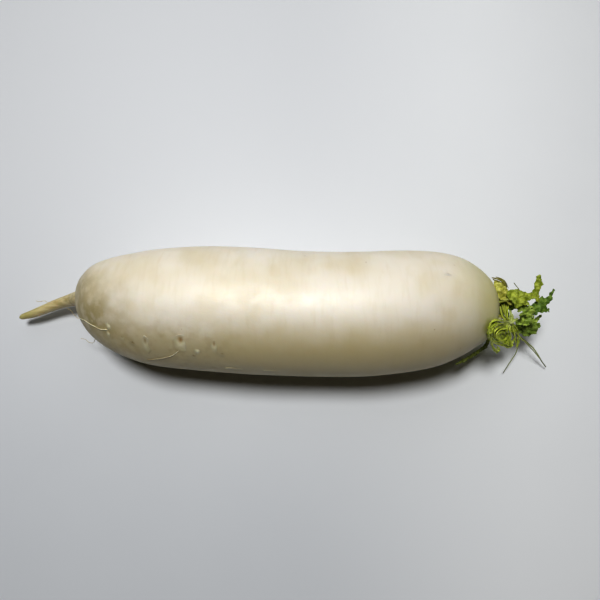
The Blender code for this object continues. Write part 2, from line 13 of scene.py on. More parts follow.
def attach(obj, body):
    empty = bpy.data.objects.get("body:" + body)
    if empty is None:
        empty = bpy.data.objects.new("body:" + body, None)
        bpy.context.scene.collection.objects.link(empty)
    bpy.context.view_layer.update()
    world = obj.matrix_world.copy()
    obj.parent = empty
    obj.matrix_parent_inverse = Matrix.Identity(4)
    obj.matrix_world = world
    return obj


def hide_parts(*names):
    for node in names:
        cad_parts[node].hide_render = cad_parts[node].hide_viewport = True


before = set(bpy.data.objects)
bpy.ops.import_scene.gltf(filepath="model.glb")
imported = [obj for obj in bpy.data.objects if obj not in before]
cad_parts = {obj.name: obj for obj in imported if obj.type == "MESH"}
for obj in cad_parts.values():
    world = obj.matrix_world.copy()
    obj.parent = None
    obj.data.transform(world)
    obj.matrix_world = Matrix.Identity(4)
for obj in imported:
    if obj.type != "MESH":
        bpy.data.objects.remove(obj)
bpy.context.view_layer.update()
TENTHS = 10000


def metres(rows):
    """Rows written in tenths of a millimetre, in metres."""
    return [tuple(part / TENTHS for part in row) for row in rows]


def metre_routes(routes):
    return [metres(route) for route in routes]


def strokes_through(chains):
    """A blade's strokes: one from each place of a chain to the next."""
    return [stroke for chain in metre_routes(chains) for stroke in zip(chain, chain[1:])]


# Root: place along it (x), then how far it leans aside (y), its height (z) and its radius
TAIL = metres([(-1787, 18, 110, 11), (-1768, 24, 110, 19), (-1686, 48, 115, 28), (-1560, 96, 128, 34),
    (-1480, 118, 145, 38), (-1400, 128, 180, 45), (-1360, 124, 215, 50), (-1338, 121, 238, 55)])
BODY = metres([(-1326, 118, 250, 70), (-1310, 115, 264, 98), (-1290, 110, 282, 128), (-1255, 100, 305, 168),
    (-1180, 82, 328, 232), (-1080, 62, 342, 282), (-950, 44, 352, 323), (-780, 33, 362, 358),
    (-500, 25, 372, 380), (-200, 8, 378, 386), (150, -9, 374, 380), (450, -10, 374, 380),
    (700, 6, 368, 374), (900, 22, 362, 353), (1040, 34, 368, 311), (1138, 36, 376, 257),
    (1212, 28, 383, 198), (1253, 29, 388, 131)])
CROWN_RIM = metres([(1257, 29, 388, 116), (1257, 30, 388, 100), (1246, 31, 388, 92), (1238, 31, 388, 60),
    (1238, 31, 388, 3)])
TAIL_END = metres([(-1789, 18, 110, 1), (-1790, 18, 110, 7)])

# Side rootlets: the way of each from inside the root to its free tip
ROOTLETS = metre_routes([
    [(-985, -140, 570), (-1002, -145, 594), (-1030, -142, 582), (-1055, -136, 569), (-1082, -122, 561),
     (-1120, -103, 545), (-1161, -80, 524), (-1204, -62, 490), (-1252, -46, 432), (-1296, -22, 355),
     (-1343, 3, 290), (-1396, 40, 225), (-1442, 65, 185)],
    [(-1190, -90, 250), (-1225, -140, 215), (-1257, -160, 165), (-1299, -152, 135), (-1331, -132, 120),
     (-1366, -122, 110)],
    [(-1570, 90, 130), (-1605, 118, 138), (-1629, 126, 135), (-1659, 121, 133), (-1685, 127, 130)],
    [(-560, -235, 610), (-583, -264, 606), (-610, -278, 583), (-639, -290, 561), (-698, -299, 532),
     (-766, -303, 500), (-810, -300, 470)],
    [(-950, 250, 250), (-1000, 350, 240), (-1080, 370, 225), (-1150, 350, 205)],
    [(-500, 320, 250), (-540, 400, 230), (-600, 440, 215), (-680, 450, 205)],
])

# Scars, spots and lines on the skin: place along the root, turn round it from the top in degrees, half of
# the width round it, the length as a share of the width, how brown its pit is, how pale its swelling
SCARS = [
    (-982, -34, 20, 0.8, 0.2, 0.8), (-994, -43, 24, 0.5, 0.4, 0.8), (-1098, -34, 18, 0.8, 0.5, 0.3),
    (-906, -44, 16, 0.9, 0.5, 0.3), (-844, -48, 13, 1.6, 0.9, 0.0), (-768, -47, 44, 0.4, 0.7, 0.6),
    (-564, -43, 42, 0.75, 1.0, 1.0), (-477, -50, 21, 0.8, 0.0, 0.8), (-503, -57, 15, 1.1, 0.9, 0.0),
    (-380, -44, 32, 0.5, 0.8, 0.7), (-341, -52, 13, 1.5, 0.6, 0.1), (-268, -72, 12, 4.5, 0.5, 0.5),
    (-48, -72, 8, 7.0, 0.4, 0.4), (115, 49, 7, 1.0, 1.0, 0.0), (458, 38, 7, 1.0, 1.0, 0.0),
    (919, 21, 8, 3.0, 0.6, 0.0), (966, 34, 7, 1.2, 0.9, 0.0), (-1010, 112, 24, 0.7, 0.6, 0.7),
    (-760, 118, 30, 0.6, 0.8, 0.7), (-520, 113, 34, 0.6, 0.9, 0.9), (-230, 117, 22, 0.7, 0.7, 0.5),
    (140, 114, 19, 0.8, 0.8, 0.4), (420, 127, 14, 1.2, 0.8, 0.1), (-880, 152, 18, 0.9, 0.7, 0.4),
]

# Crown: the cut stubs that stand on its dome, each with its radius at the base and at the end
STUBS = [
    ([(1255, 85, 425), (1314, 124, 470), (1307, 152, 488), (1278, 174, 496), (1234, 186, 494)], (12, 3)),
    ([(1255, 78, 430), (1306, 114, 470), (1300, 142, 485), (1275, 162, 491), (1241, 178, 489)], (11, 3)),
    ([(1255, 90, 420), (1320, 128, 466), (1316, 157, 486), (1290, 179, 495), (1258, 190, 496)], (9, 2)),
    ([(1255, 82, 425), (1292, 112, 448), (1290, 142, 466), (1266, 164, 478)], (26, 12)),
    ([(1255, 66, 425), (1302, 90, 450), (1330, 112, 464)], (32, 24)),
    ([(1255, 95, 380), (1312, 142, 385), (1342, 164, 375)], (30, 22)),
    ([(1255, 78, 335), (1308, 114, 288), (1332, 136, 262)], (30, 22)),
    ([(1255, 48, 325), (1312, 56, 262), (1340, 58, 234)], (30, 22)),
    ([(1255, 4, 335), (1300, -14, 280), (1320, -20, 255)], (28, 20)),
    ([(1255, -20, 402), (1288, -46, 410), (1298, -56, 413)], (26, 20)),
]

# Leaf stalks, from inside the crown outwards
UPPER_STALK = metres([(1255, 40, 440), (1300, 50, 474), (1348, 62, 496), (1410, 68, 498), (1470, 78, 484)])
DARK_STALK = metres([(1255, 74, 380), (1315, 72, 396), (1365, 44, 422), (1422, 16, 430), (1479, 8, 430),
    (1545, 28, 432)])
CURLY_STALK = metres([(1255, 24, 358), (1320, 16, 348), (1385, -16, 332), (1441, -48, 324),
    (1490, -70, 314), (1556, -76, 299)])
STRAP_STALK = metres([(1255, -12, 358), (1290, -38, 314), (1283, -74, 252), (1292, -110, 196),
    (1308, -142, 172)])
TORN_STALK = metres([(1255, 44, 400), (1298, 48, 409), (1312, 8, 391), (1324, -37, 392), (1364, -67, 398)])
BARE_STALK = metres([(1255, 52, 342), (1325, 32, 310), (1390, -36, 262), (1450, -96, 222),
    (1505, -128, 200), (1614, -190, 130), (1692, -273, 72), (1729, -306, 40)])

# Thin strands: the torn stalk's curls from its broken end, and the bare stalk's side shoots
TORN_STRANDS = metre_routes([
    [(1363, -63, 402), (1301, -73, 460), (1234, -84, 539), (1190, -92, 583), (1164, -106, 591),
     (1156, -133, 577), (1166, -161, 541), (1201, -187, 477), (1257, -198, 408), (1321, -201, 340),
     (1384, -203, 279), (1420, -190, 257)],
    [(1365, -68, 396), (1299, -87, 448), (1221, -109, 537), (1187, -134, 550), (1190, -158, 519),
     (1226, -179, 450), (1286, -190, 382)],
    [(1361, -74, 396), (1321, -109, 419), (1263, -126, 467), (1235, -153, 475), (1264, -177, 424),
     (1322, -174, 366), (1347, -150, 359), (1310, -135, 406)],
    [(1365, -74, 392), (1355, -107, 391), (1373, -138, 353), (1380, -172, 315), (1361, -197, 305),
     (1317, -194, 349)],
    [(1370, -73, 389), (1395, -111, 351), (1421, -142, 308), (1444, -177, 261)],
    [(1370, -73, 389), (1428, -111, 318), (1472, -139, 265), (1504, -155, 232)],
    [(1365, -70, 388), (1345, -95, 382), (1333, -125, 364), (1381, -157, 295), (1434, -161, 247)],
    [(1201, -187, 477), (1230, -211, 422), (1258, -232, 378), (1290, -238, 342), (1299, -219, 348),
     (1276, -213, 375)],
    [(1363, -69, 397), (1299, -98, 438), (1232, -124, 510), (1208, -148, 517), (1238, -168, 446),
     (1283, -180, 392), (1342, -186, 331)],
    [(1366, -71, 393), (1341, -110, 392), (1351, -143, 358), (1329, -177, 350), (1280, -184, 392)],
    [(1302, 44, 409), (1340, 60, 440), (1341, 8, 424), (1340, -38, 412), (1362, -66, 402)],
])
BARE_STRANDS = metre_routes([
    [(1450, -96, 222), (1520, -154, 212), (1610, -216, 146), (1692, -273, 72)],
    [(1410, -58, 248), (1472, -130, 196), (1505, -173, 155), (1508, -218, 110), (1487, -268, 70),
     (1445, -343, 30)],
])

# Crown hairs, the torn stalk's base lines, and the lines that its ball of fibres follows
ARCH_HAIR = metre_routes([
    [(1283, 182, 490), (1298, 171, 495), (1314, 149, 495), (1328, 123, 490)],
    [(1359, 152, 500), (1372, 133, 500), (1387, 111, 498), (1397, 94, 490)],
])
BASE_LINES = metre_routes([
    [(1284, 108, 455), (1297, 75, 436), (1314, 16, 422), (1329, -34, 416), (1356, -62, 410)],
    [(1341, 63, 434), (1334, 22, 424), (1327, -20, 418), (1338, -52, 412)],
    [(1315, 80, 440), (1320, 33, 430), (1321, -12, 420), (1342, -53, 410)],
    [(1302, 62, 410), (1304, 12, 410), (1306, -35, 420), (1318, -68, 430)],
])
BALL_LINES = metre_routes([
    [(1362, -61, 405), (1299, -72, 465), (1237, -79, 534), (1187, -89, 584), (1162, -104, 591),
     (1154, -132, 575), (1167, -161, 538), (1196, -185, 483), (1246, -197, 421), (1308, -199, 357),
     (1378, -203, 285), (1419, -194, 255)],
    [(1360, -66, 403), (1290, -84, 462), (1220, -99, 542), (1179, -120, 564), (1175, -144, 544),
     (1195, -168, 493), (1238, -186, 434), (1301, -191, 366)],
    [(1363, -69, 397), (1291, -97, 450), (1228, -116, 512), (1199, -141, 524), (1220, -164, 470),
     (1267, -179, 410), (1325, -178, 356), (1346, -153, 355), (1313, -134, 404), (1270, -138, 444),
     (1255, -155, 447)],
    [(1363, -69, 400), (1355, -101, 390), (1375, -132, 353), (1374, -165, 326), (1401, -194, 276)],
    [(1371, -69, 395), (1392, -96, 363), (1414, -128, 326), (1422, -160, 290), (1403, -181, 282)],
    [(1367, -69, 396), (1337, -106, 402), (1348, -140, 367), (1329, -177, 356), (1286, -181, 393),
     (1258, -166, 434)],
    [(1371, -65, 396), (1414, -91, 348), (1444, -122, 303), (1463, -161, 256), (1464, -195, 226)],
    [(1357, -70, 403), (1314, -103, 424), (1266, -121, 461), (1239, -145, 470), (1256, -172, 431),
     (1297, -186, 377)],
    [(1365, -71, 395), (1326, -94, 422), (1327, -124, 402), (1362, -148, 351), (1354, -179, 332),
     (1320, -195, 348)],
    [(1196, -185, 483), (1226, -209, 428), (1259, -231, 378), (1284, -240, 347), (1301, -231, 338),
     (1291, -219, 356), (1273, -223, 373)],
    [(1364, -69, 390), (1309, -94, 421), (1275, -126, 431), (1306, -156, 376), (1376, -171, 299),
     (1423, -164, 264)],
])

# Blades: chains of x, y, z and half width, whose strokes melt together
UPPER_BLADE = strokes_through([
    [(1337, 82, 500, 28), (1377, 67, 502, 45), (1438, 70, 492, 22)],
    [(1438, 72, 490, 20), (1490, 82, 480, 15)],
    [(1504, 56, 465, 12), (1494, 101, 480, 16), (1504, 146, 505, 20), (1502, 186, 525, 12)],
    [(1397, 40, 494, 21), (1438, 29, 476, 12)],
    [(1362, 44, 496, 20), (1368, 15, 480, 14)],
])
DARK_BLADE = strokes_through([
    [(1352, 58, 414, 16), (1385, 32, 424, 13)],
    [(1422, 14, 430, 16), (1479, 5, 430, 22), (1530, 24, 430, 34)],
    [(1530, 24, 430, 30), (1585, 68, 455, 12), (1599, 113, 480, 5)],
    [(1548, 8, 420, 18), (1595, 5, 405, 10)],
    [(1536, 42, 435, 16), (1548, 67, 445, 12)],
    [(1475, 0, 422, 20), (1505, -14, 412, 14)],
])
CURLY_BLADE = strokes_through([
    [(1342, 26, 350, 16), (1368, 0, 342, 18)],
    [(1441, -54, 322, 16), (1488, -72, 310, 28), (1542, -81, 300, 30)],
    [(1542, -78, 300, 26), (1583, -69, 290, 16)],
    [(1463, -20, 362, 18), (1496, -34, 356, 26), (1515, -62, 325, 26)],
    [(1545, -48, 318, 14), (1580, -18, 330, 8)],
    [(1517, -98, 285, 22), (1561, -107, 265, 15)],
    [(1498, -88, 285, 18), (1500, -126, 256, 13)],
])
STRAP_BLADE = strokes_through([
    [(1308, -142, 172, 11), (1282, -186, 184, 11), (1180, -244, 250, 10), (1100, -286, 286, 9),
     (1049, -309, 294, 5)],
])
BALL_BLADE = strokes_through([
    [(1215, -97, 550, 8), (1180, -119, 564, 8), (1179, -147, 538, 9), (1208, -171, 477, 11)],
    [(1341, -81, 405, 14), (1285, -106, 443, 16), (1255, -137, 450, 19), (1278, -165, 408, 22),
     (1354, -176, 325, 20)],
    [(1315, -137, 389, 17), (1365, -159, 326, 16)],
    [(1370, -81, 380, 10), (1387, -112, 344, 8)],
    [(1354, -176, 325, 20), (1409, -186, 268, 12)],
])

# The dry sheath under the crown's arch, the bits between the leaves, the shaded bits, the pale knot
SHEATH_BLADE = strokes_through([
    [(1249, 154, 502, 9), (1270, 141, 506, 12)],
    [(1259, 130, 500, 19), (1283, 120, 504, 19)],
    [(1268, 104, 494, 23), (1305, 94, 496, 22)],
    [(1282, 75, 476, 19), (1318, 68, 480, 20)],
    [(1293, 115, 500, 16), (1326, 82, 484, 16)],
    [(1315, 58, 470, 15), (1349, 35, 450, 12)],
])
MIDDLE_BLADE = strokes_through([
    [(1386, 14, 448, 7), (1420, 23, 454, 9), (1468, 15, 454, 10)],
    [(1403, -2, 440, 9), (1434, 1, 446, 11), (1489, -5, 442, 9)],
    [(1417, -23, 426, 8), (1452, -18, 428, 12), (1496, -32, 414, 9)],
    [(1442, 0, 442, 8), (1473, -53, 410, 9)],
    [(1438, -51, 400, 9), (1473, -56, 400, 12)],
    [(1422, -72, 384, 7), (1464, -78, 376, 10)],
    [(1473, -56, 400, 12), (1521, -60, 388, 8)],
])
SHADE_BLADE = strokes_through([
    [(1345, 58, 430, 16), (1384, 44, 420, 18), (1420, 25, 410, 12)],
    [(1332, 46, 400, 12), (1370, 17, 390, 14)],
    [(1474, -100, 270, 16), (1525, -112, 265, 20)],
    [(1453, -76, 280, 16), (1495, -95, 280, 20)],
])
HUB_BLADE = strokes_through([
    [(1358, -6, 420, 9), (1361, -39, 418, 12), (1357, -71, 416, 12)],
    [(1375, -59, 410, 8), (1408, -45, 400, 4)],
])

# Root: how finely its line and rings are cut, and the radii between which its rings turn upright
PATH_STEPS = 12
LINE_SPACING = 0.0006
RING_SPACING = 0.00085
ROOT_SIDES = 230
SLANTED_UNDER = 0.0044
UPRIGHT_OVER = 0.0070
SLOPE_STEP = 0.001
SCAR_GIRTH = 1.35
SCAR_RISE = 0.0007
CROWN_Y = 0.0031
CROWN_Z = 0.0388
DOME = [(0.1211, 0.0089), (0.1254, 0.0089), (0.1276, 0.0070), (0.1286, 0.0040)]

# The node whose place pieces take, and the node's finish slot
ROOT = ("root", "root_skin")
CROWN = ("leaf_crown", "crown_green")
TORN = ("torn_stalk", "pale_stalk")
BARE = ("bare_stalk", "pale_stalk")

# Radii along each kind of strand, from its base to its tip
ROOTLET_RADII = (0.0003, 0.00018, 0.00016, 0.00012)
LEAF_STALK_RADII = (0.0010, 0.0003)
TORN_RADII = (0.0011, 0.0009)
BASE_RADII = (0.0006, 0.0005)
CURL_RADII = (0.0005, 0.00028)
FIBRE_RADII = (0.00048, 0.00024)
BARE_RADII = (0.0006, 0.0003)
SHOOT_RADII = (0.00036, 0.0002)
HAIR_RADII = (0.00025, 0.00013)

# Blades: their grid, their thickness, how their strokes melt together, and their relief
BLADE_GRID = 0.00028
BLADE_THICKNESS = 0.00045
EDGE_MELT = 0.0004
HEIGHT_MELT = 0.0012
EDGE_SNAP = 0.3
LEAST_SLOPE = 0.3
NOTCH_DEPTH = 0.00016
NOTCH_PITCH = 0.0026
RUFFLE_RISE = 0.0006
RUFFLE_PITCH = 0.0060
TOOTH_DEPTH = 0.00055
TOOTH_SIZE = 0.0010
CRUMPLE_RISE = 0.0007
CRUMPLE_SIZE = 0.0016
FRILL_RISE = 0.0006
FRILL_SIZE = 0.0010
FRILL_WIDTH = 0.0007
RIB_WIDTH = 0.00030
VEIN_PITCH = 0.0017
VEIN_LEAN = 1.3
VEIN_DEPTH = 0.00018
VEIN_MELT = 0.3 * HEIGHT_MELT
VEIN_SHARPNESS = 8
SIDE_VEIN_SHARE = 0.6
RIM_THINNING = 0.6

# Layers of the cloud of chance that a blade's teeth, crumples and frill are read from
TOOTH_LAYER = 2.7
CRUMPLE_LAYER = 5.1
FRILL_LAYER = 9.4

# Leaf stalks sink into their blades outside the crown, over a short run
STALK_SINK = 0.0007
STALK_FREE = 0.132
STALK_RUN = 0.006

# Lines are numbered round this many, and corners nearer than this are one
LINE_NUMBERS = 97
DOUBLES_APART = 1e-7

# Where the ball of torn fibres leans on the skin
FIBRE_BALL_PLACE = (0.1160, -0.0120, 0.0565)

# Camera and light, from the photo's angle: high above the near side
CAMERA_PLACE = (0.0086, -0.0576, 0.3203)
CAMERA_TILT = 13.0
CAMERA_LENS = 28.2
CAMERA_NEAREST = 0.005
KEY_LEAN = 10.0
KEY_SIDE = -5.5
KEY_DISTANCE = 0.95
KEY_SIZE = 0.27
KEY_POWER = 7.7
PANEL_LEAN = 45.0
PANEL_DISTANCE = 1.0
PANEL_SIZE = (1.3, 0.9)
PANEL_POWER = 2.8
FILL_STRENGTH = 0.02
FILL_TONE = (1.0, 0.80, 0.46, 1.0)
WALL_TONE = (0.062, 0.063, 0.065, 1.0)
CONTRAST_GAMMA = 0.74
FLOOR_RADIUS = 1.9
FLOOR_SIDES = 180
FLOOR_LEVEL = -0.00005

# Skin tones as display values
SKIN_TONES = {
    "plain": (223, 215, 195), "light": (230, 224, 211), "towards the tail": (165, 152, 106),
    # the near flank tone is painted shade: darker, browner skin low on the near side
    "crown end": (198, 193, 126), "under the fibres": (150, 150, 60), "near flank shade": (204, 191, 149),
    "streaks": (192, 176, 128), "blotches": (164, 142, 88), "clouds": (196, 180, 130),
    "specks": (160, 128, 72), "scar": (246, 238, 204), "scar pit": (148, 112, 56),
    "tail": (184, 170, 122), "tail streaks": (212, 199, 156), "tail tip": (172, 168, 104),
    "rootlet": (236, 228, 200), "rootlet tip": (188, 170, 128), "rootlet mottles": (150, 128, 88),
}
SKIN_SHINE = {"Specular IOR Level": 0.9, "Coat Weight": 0.35, "Coat Roughness": 0.5}

# Fibres in the shade, in the light, at their deepest and at their base; floor near, far and right (far and
# right as painted light), and mottled
FIBRE_TONES = ((184, 200, 66), (222, 230, 112), (158, 176, 54), (224, 230, 166))
FLOOR_TONES = ((205, 208, 212), (214, 216, 219), (232, 234, 236), (217, 220, 223))

# Leaf tones as display values: in the shade, in the light, at the rim, and along the veins
LEAF_TONES = {
    "young leaf": ((134, 148, 42), (178, 188, 78), (116, 132, 38), (190, 198, 104)),
    "dark leaf": ((84, 114, 34), (124, 150, 60), (64, 86, 30), (148, 170, 88)),
    # the strap leaf's tones are darker than its own green: painted shade, where it lies in the body's shadow
    "strap leaf": ((104, 116, 46), (136, 146, 68), (88, 100, 40), (160, 168, 96)),
    "curly leaf": ((116, 138, 52), (160, 178, 88), (94, 118, 42), (174, 190, 106)),
    "crinkled leaf": ((134, 158, 62), (178, 196, 98), (146, 166, 68), (192, 206, 120)),
    "crown sheath": ((168, 168, 74), (208, 206, 112), (134, 130, 50), (200, 198, 112)),
    "torn leaf": ((140, 156, 44), (190, 200, 80), (150, 164, 56), (210, 216, 120)),
    "pale knot": ((172, 184, 104), (208, 214, 150), (160, 174, 92), (216, 222, 162)),
}

# Stalk tones as display values: in the shade, in the light, and at the tip
STALK_TONES = {
    "young stalk": ((150, 156, 62), (186, 190, 98), (140, 152, 54)),
    "dark stalk": ((112, 134, 56), (142, 162, 82), (92, 118, 44)),
    "crown flesh": ((132, 130, 58), (168, 164, 84), (116, 108, 54)),
    "crown hair": ((104, 108, 66), (136, 138, 92), (96, 98, 62)),
    "torn base": ((160, 170, 58), (194, 202, 92), (142, 150, 58)),
    "bare stalk": ((134, 144, 78), (176, 182, 120), (66, 72, 42)),
}


def add(kind, joined=(), tree=None, **settings):
    """Adds a node, in the tree its inputs come from or the one given, with its settings and its inputs."""
    joined = dict(joined)
    sockets = [value for value in joined.values() if isinstance(value, bpy.types.NodeSocket)]
    tree = tree or sockets[0].id_data
    made = tree.nodes.new(kind)
    for name, value in settings.items():
        setattr(made, name, value)
    for place, value in joined.items():
        if isinstance(value, bpy.types.NodeSocket):
            tree.links.new(value, made.inputs[place])
        else:
            made.inputs[place].default_value = value
    return made


def maths(operation, *values):
    return add("ShaderNodeMath", enumerate(values), operation=operation).outputs[0]


def plus(*values):
    return maths("ADD", *values)


def minus(*values):
    return maths("SUBTRACT", *values)


def times(*values):
    return maths("MULTIPLY", *values)


def vectors(operation, *values):
    return add("ShaderNodeVectorMath", enumerate(values), operation=operation).outputs[0]


def scaled(vector, factor):
    return add("ShaderNodeVectorMath", {0: vector, 3: factor}, operation="SCALE").outputs[0]


def split(vector):
    return add("ShaderNodeSeparateXYZ", {0: vector}).outputs


def joined_up(*parts):
    return add("ShaderNodeCombineXYZ", enumerate(parts)).outputs[0]


def ranged(value, low, high, low_out=0.0, high_out=1.0):
    """A smooth climb from one value to the other as the input passes from low to high."""
    joined = {0: value, 1: low, 2: high, 3: low_out, 4: high_out}
    return add("ShaderNodeMapRange", joined, interpolation_type="SMOOTHSTEP").outputs[0]


def blended(share, first, second):
    joined = {0: share, 6: first, 7: second}
    return add("ShaderNodeMix", joined, data_type="RGBA", blend_type="MIX").outputs[2]


def noise_of(place, detail, output=0):
    """Noise at a place that is measured in the noise's own features."""
    return add("ShaderNodeTexNoise", {0: place, 2: 1.0, 3: detail}).outputs[output]


def grain(place, size, detail=2.0, stretch=(1, 1, 1)):
    """Noise with features about size across, in metres, drawn out along an axis by its stretch."""
    scale = [1 / (size * share) for share in stretch]
    return noise_of(add("ShaderNodeMapping", {0: place, 3: scale}).outputs[0], detail)


def colour(red, green, blue):
    """A colour picked as display values from 0 to 255, turned into linear light."""
    shares = [value / 255 for value in (red, green, blue)]
    linear = [share / 12.92 if share < 0.04045 else ((share + 0.055) / 1.055) ** 2.4 for share in shares]
    return (*linear, 1.0)


def finish_tree(name, roughness, subsurface=0.0, depth=(0.004, 0.002, 0.001)):
    """A new material, its tree and the place of each point on the piece."""
    made = bpy.data.materials.new(name)
    made.use_nodes = True
    shader = made.node_tree.nodes["Principled BSDF"]
    shader.inputs["Roughness"].default_value = roughness
    shader.inputs["Subsurface Weight"].default_value = subsurface
    shader.inputs["Subsurface Radius"].default_value = (1.0, depth[1] / depth[0], depth[2] / depth[0])
    shader.inputs["Subsurface Scale"].default_value = depth[0]
    return made, made.node_tree, add("ShaderNodeTexCoord", (), made.node_tree).outputs["Object"]


def painted(made, tone, height, distance, strength=1.0):
    """Joins a tone and fine bumps to a material's shader."""
    tree = made.node_tree
    shader = tree.nodes["Principled BSDF"]
    tree.links.new(tone, shader.inputs["Base Color"])
    bumps = add("ShaderNodeBump", {"Height": height, "Distance": distance, "Strength": strength})
    tree.links.new(bumps.outputs[0], shader.inputs["Normal"])
    return made


def kept(tree, name):
    """A value that the piece's own points keep."""
    return add("ShaderNodeAttribute", (), tree, attribute_name=name).outputs["Fac"]


def smooth_path(points, per_span):
    """Rows read from one smooth curve through the given rows."""
    rows = [np.array(point, float) for point in points]
    rows = [2 * rows[0] - rows[1], *rows, 2 * rows[-1] - rows[-2]]
    found = []
    for before, start, end, after in zip(rows, rows[1:], rows[2:], rows[3:]):
        for step in range(per_span):
            t = step / per_span
            bend = (2 * before - 5 * start + 4 * end - after) * t * t
            twist = (3 * start - before - 3 * end + after) * t * t * t
            found.append(0.5 * (2 * start + (end - before) * t + bend + twist))
    found.append(rows[-2])
    return np.array(found)


def reach_of(rows):
    """How far along the rows each of them lies, every column counted in."""
    return np.concatenate([[0], np.cumsum(np.linalg.norm(np.diff(rows, axis=0), axis=1))])


def even_rows(rows, spacing):
    """The same rows read again at even steps along them, the change of radius counted in."""
    reach = reach_of(rows)
    places = np.linspace(0, reach[-1], max(int(reach[-1] / spacing) + 1, 2))
    return np.column_stack([np.interp(places, reach, rows[:, column]) for column in range(4)])


def routed(route, radii):
    """Rows of x, y, z and radius along the smooth curve through a route."""
    path = smooth_path(route, PATH_STEPS)
    reach = reach_of(path)
    sizes = np.interp(reach / reach[-1], np.linspace(0, 1, len(radii)), radii)
    return even_rows(np.column_stack([path, sizes]), LINE_SPACING)


def line_mesh(name, routes):
    """Open lines for a tree to grow on, with the radius, the share of the way and a number of each line."""
    points = np.vstack(routes)
    edges, share, number = [], [], []
    for route in routes:
        first = len(share)
        edges += [(n, n + 1) for n in range(first, first + len(route) - 1)]
        share += list(np.linspace(0, 1, len(route)))
        number += [float(len(number) % LINE_NUMBERS)] * len(route)
    made = bpy.data.meshes.new(name)
    made.from_pydata(points[:, :3].tolist(), edges, [])
    keep_values(made, {"girth": points[:, 3], "share": share, "line": number})
    return made


def keep_values(mesh, values):
    for name, numbers in values.items():
        layer = mesh.attributes.new(name, "FLOAT", "POINT")
        layer.data.foreach_set("value", np.array(numbers, np.float32))


def geometry_tree(name, sizes):
    """An empty geometry tree with named inputs: the tree, its inputs and its result."""
    tree = bpy.data.node_groups.new(name, "GeometryNodeTree")
    tree.interface.new_socket("Geometry", in_out="INPUT", socket_type="NodeSocketGeometry")
    for label, value in sizes.items():
        kind = {int: "NodeSocketInt", float: "NodeSocketFloat"}.get(type(value), "NodeSocketMaterial")
        socket = tree.interface.new_socket(label, in_out="INPUT", socket_type=kind)
        if value is not None:
            socket.default_value = value
    tree.interface.new_socket("Geometry", in_out="OUTPUT", socket_type="NodeSocketGeometry")
    given = tree.nodes.new("NodeGroupInput").outputs
    return tree, given, tree.nodes.new("NodeGroupOutput").inputs[0]


def named(tree, name, kind="FLOAT"):
    return add("GeometryNodeInputNamedAttribute", {0: name}, tree, data_type=kind).outputs[0]


def stored(geometry, name, value, kind="FLOAT"):
    joined = {0: geometry, 2: name, 3: value}
    return add("GeometryNodeStoreNamedAttribute", joined, data_type=kind).outputs[0]


def position(tree):
    return add("GeometryNodeInputPosition", (), tree).outputs[0]


def shifted(geometry, way):
    return add("GeometryNodeSetPosition", {0: geometry, 3: way}).outputs[0]


def put(geometry, place):
    return add("GeometryNodeSetPosition", {0: geometry, 2: place}).outputs[0]


def pushed_out(geometry, depth):
    return shifted(geometry, scaled(add("GeometryNodeInputNormal", (), geometry.id_data).outputs[0], depth))


def curve_of(given):
    return add("GeometryNodeMeshToCurve", {0: given["Geometry"]}).outputs[0]


def tube_along(curve, sides, girth):
    """A closed tube round a curve, where each point knows its turn round it."""
    circle = add("GeometryNodeCurvePrimitiveCircle", {"Resolution": sides, "Radius": 1.0}).outputs[0]
    order = add("GeometryNodeInputIndex", (), curve.id_data).outputs[0]
    turn = times(maths("DIVIDE", order, sides), 2 * math.pi)
    outline = stored(circle, "turn", turn)
    return add("GeometryNodeCurveToMesh", {0: curve, 1: outline, 2: girth, 3: True}).outputs[0]


def closing(tree, geometry, finish, result):
    """Every tree's end: smooth shading, real faces and the finish."""
    smooth = add("GeometryNodeSetShadeSmooth", {0: geometry}).outputs[0]
    real = add("GeometryNodeRealizeInstances", {0: smooth}).outputs[0]
    tree.links.new(add("GeometryNodeSetMaterial", {0: real, 2: finish}).outputs[0], result)
    return tree


def strayed(tree, number, apart, reach, size):
    """How far a line strays at each place: its own part of one cloud of chance."""
    place = scaled(position(tree), maths("DIVIDE", 1.0, size))
    chance = noise_of(vectors("ADD", place, scaled(apart, number)), 1.0, 1)
    return scaled(vectors("SUBTRACT", chance, (0.5, 0.5, 0.5)), reach)


def strand_tree():
    """Round strands along lines: a slow waver, the given girth, and ridges along them."""
    tree, given, result = geometry_tree("strands", {
        "Sides": 10, "Ridges": 5, "Ridge depth": 0.08, "Waver": 0.0001, "Waver size": 0.004,
        "Base held": 0.2, "Finish": None})
    sway = strayed(tree, named(tree, "line"), (3.1, 1.7, 2.3), given["Waver"], given["Waver size"])
    held = ranged(named(tree, "share"), 0.0, given["Base held"])
    curve = shifted(curve_of(given), scaled(sway, held))
    body = tube_along(curve, given["Sides"], named(tree, "girth"))
    wave = maths("COSINE", times(named(tree, "turn"), given["Ridges"]))
    depth = times(times(wave, given["Ridge depth"]), named(tree, "girth"))
    return closing(tree, pushed_out(body, depth), given["Finish"], result)


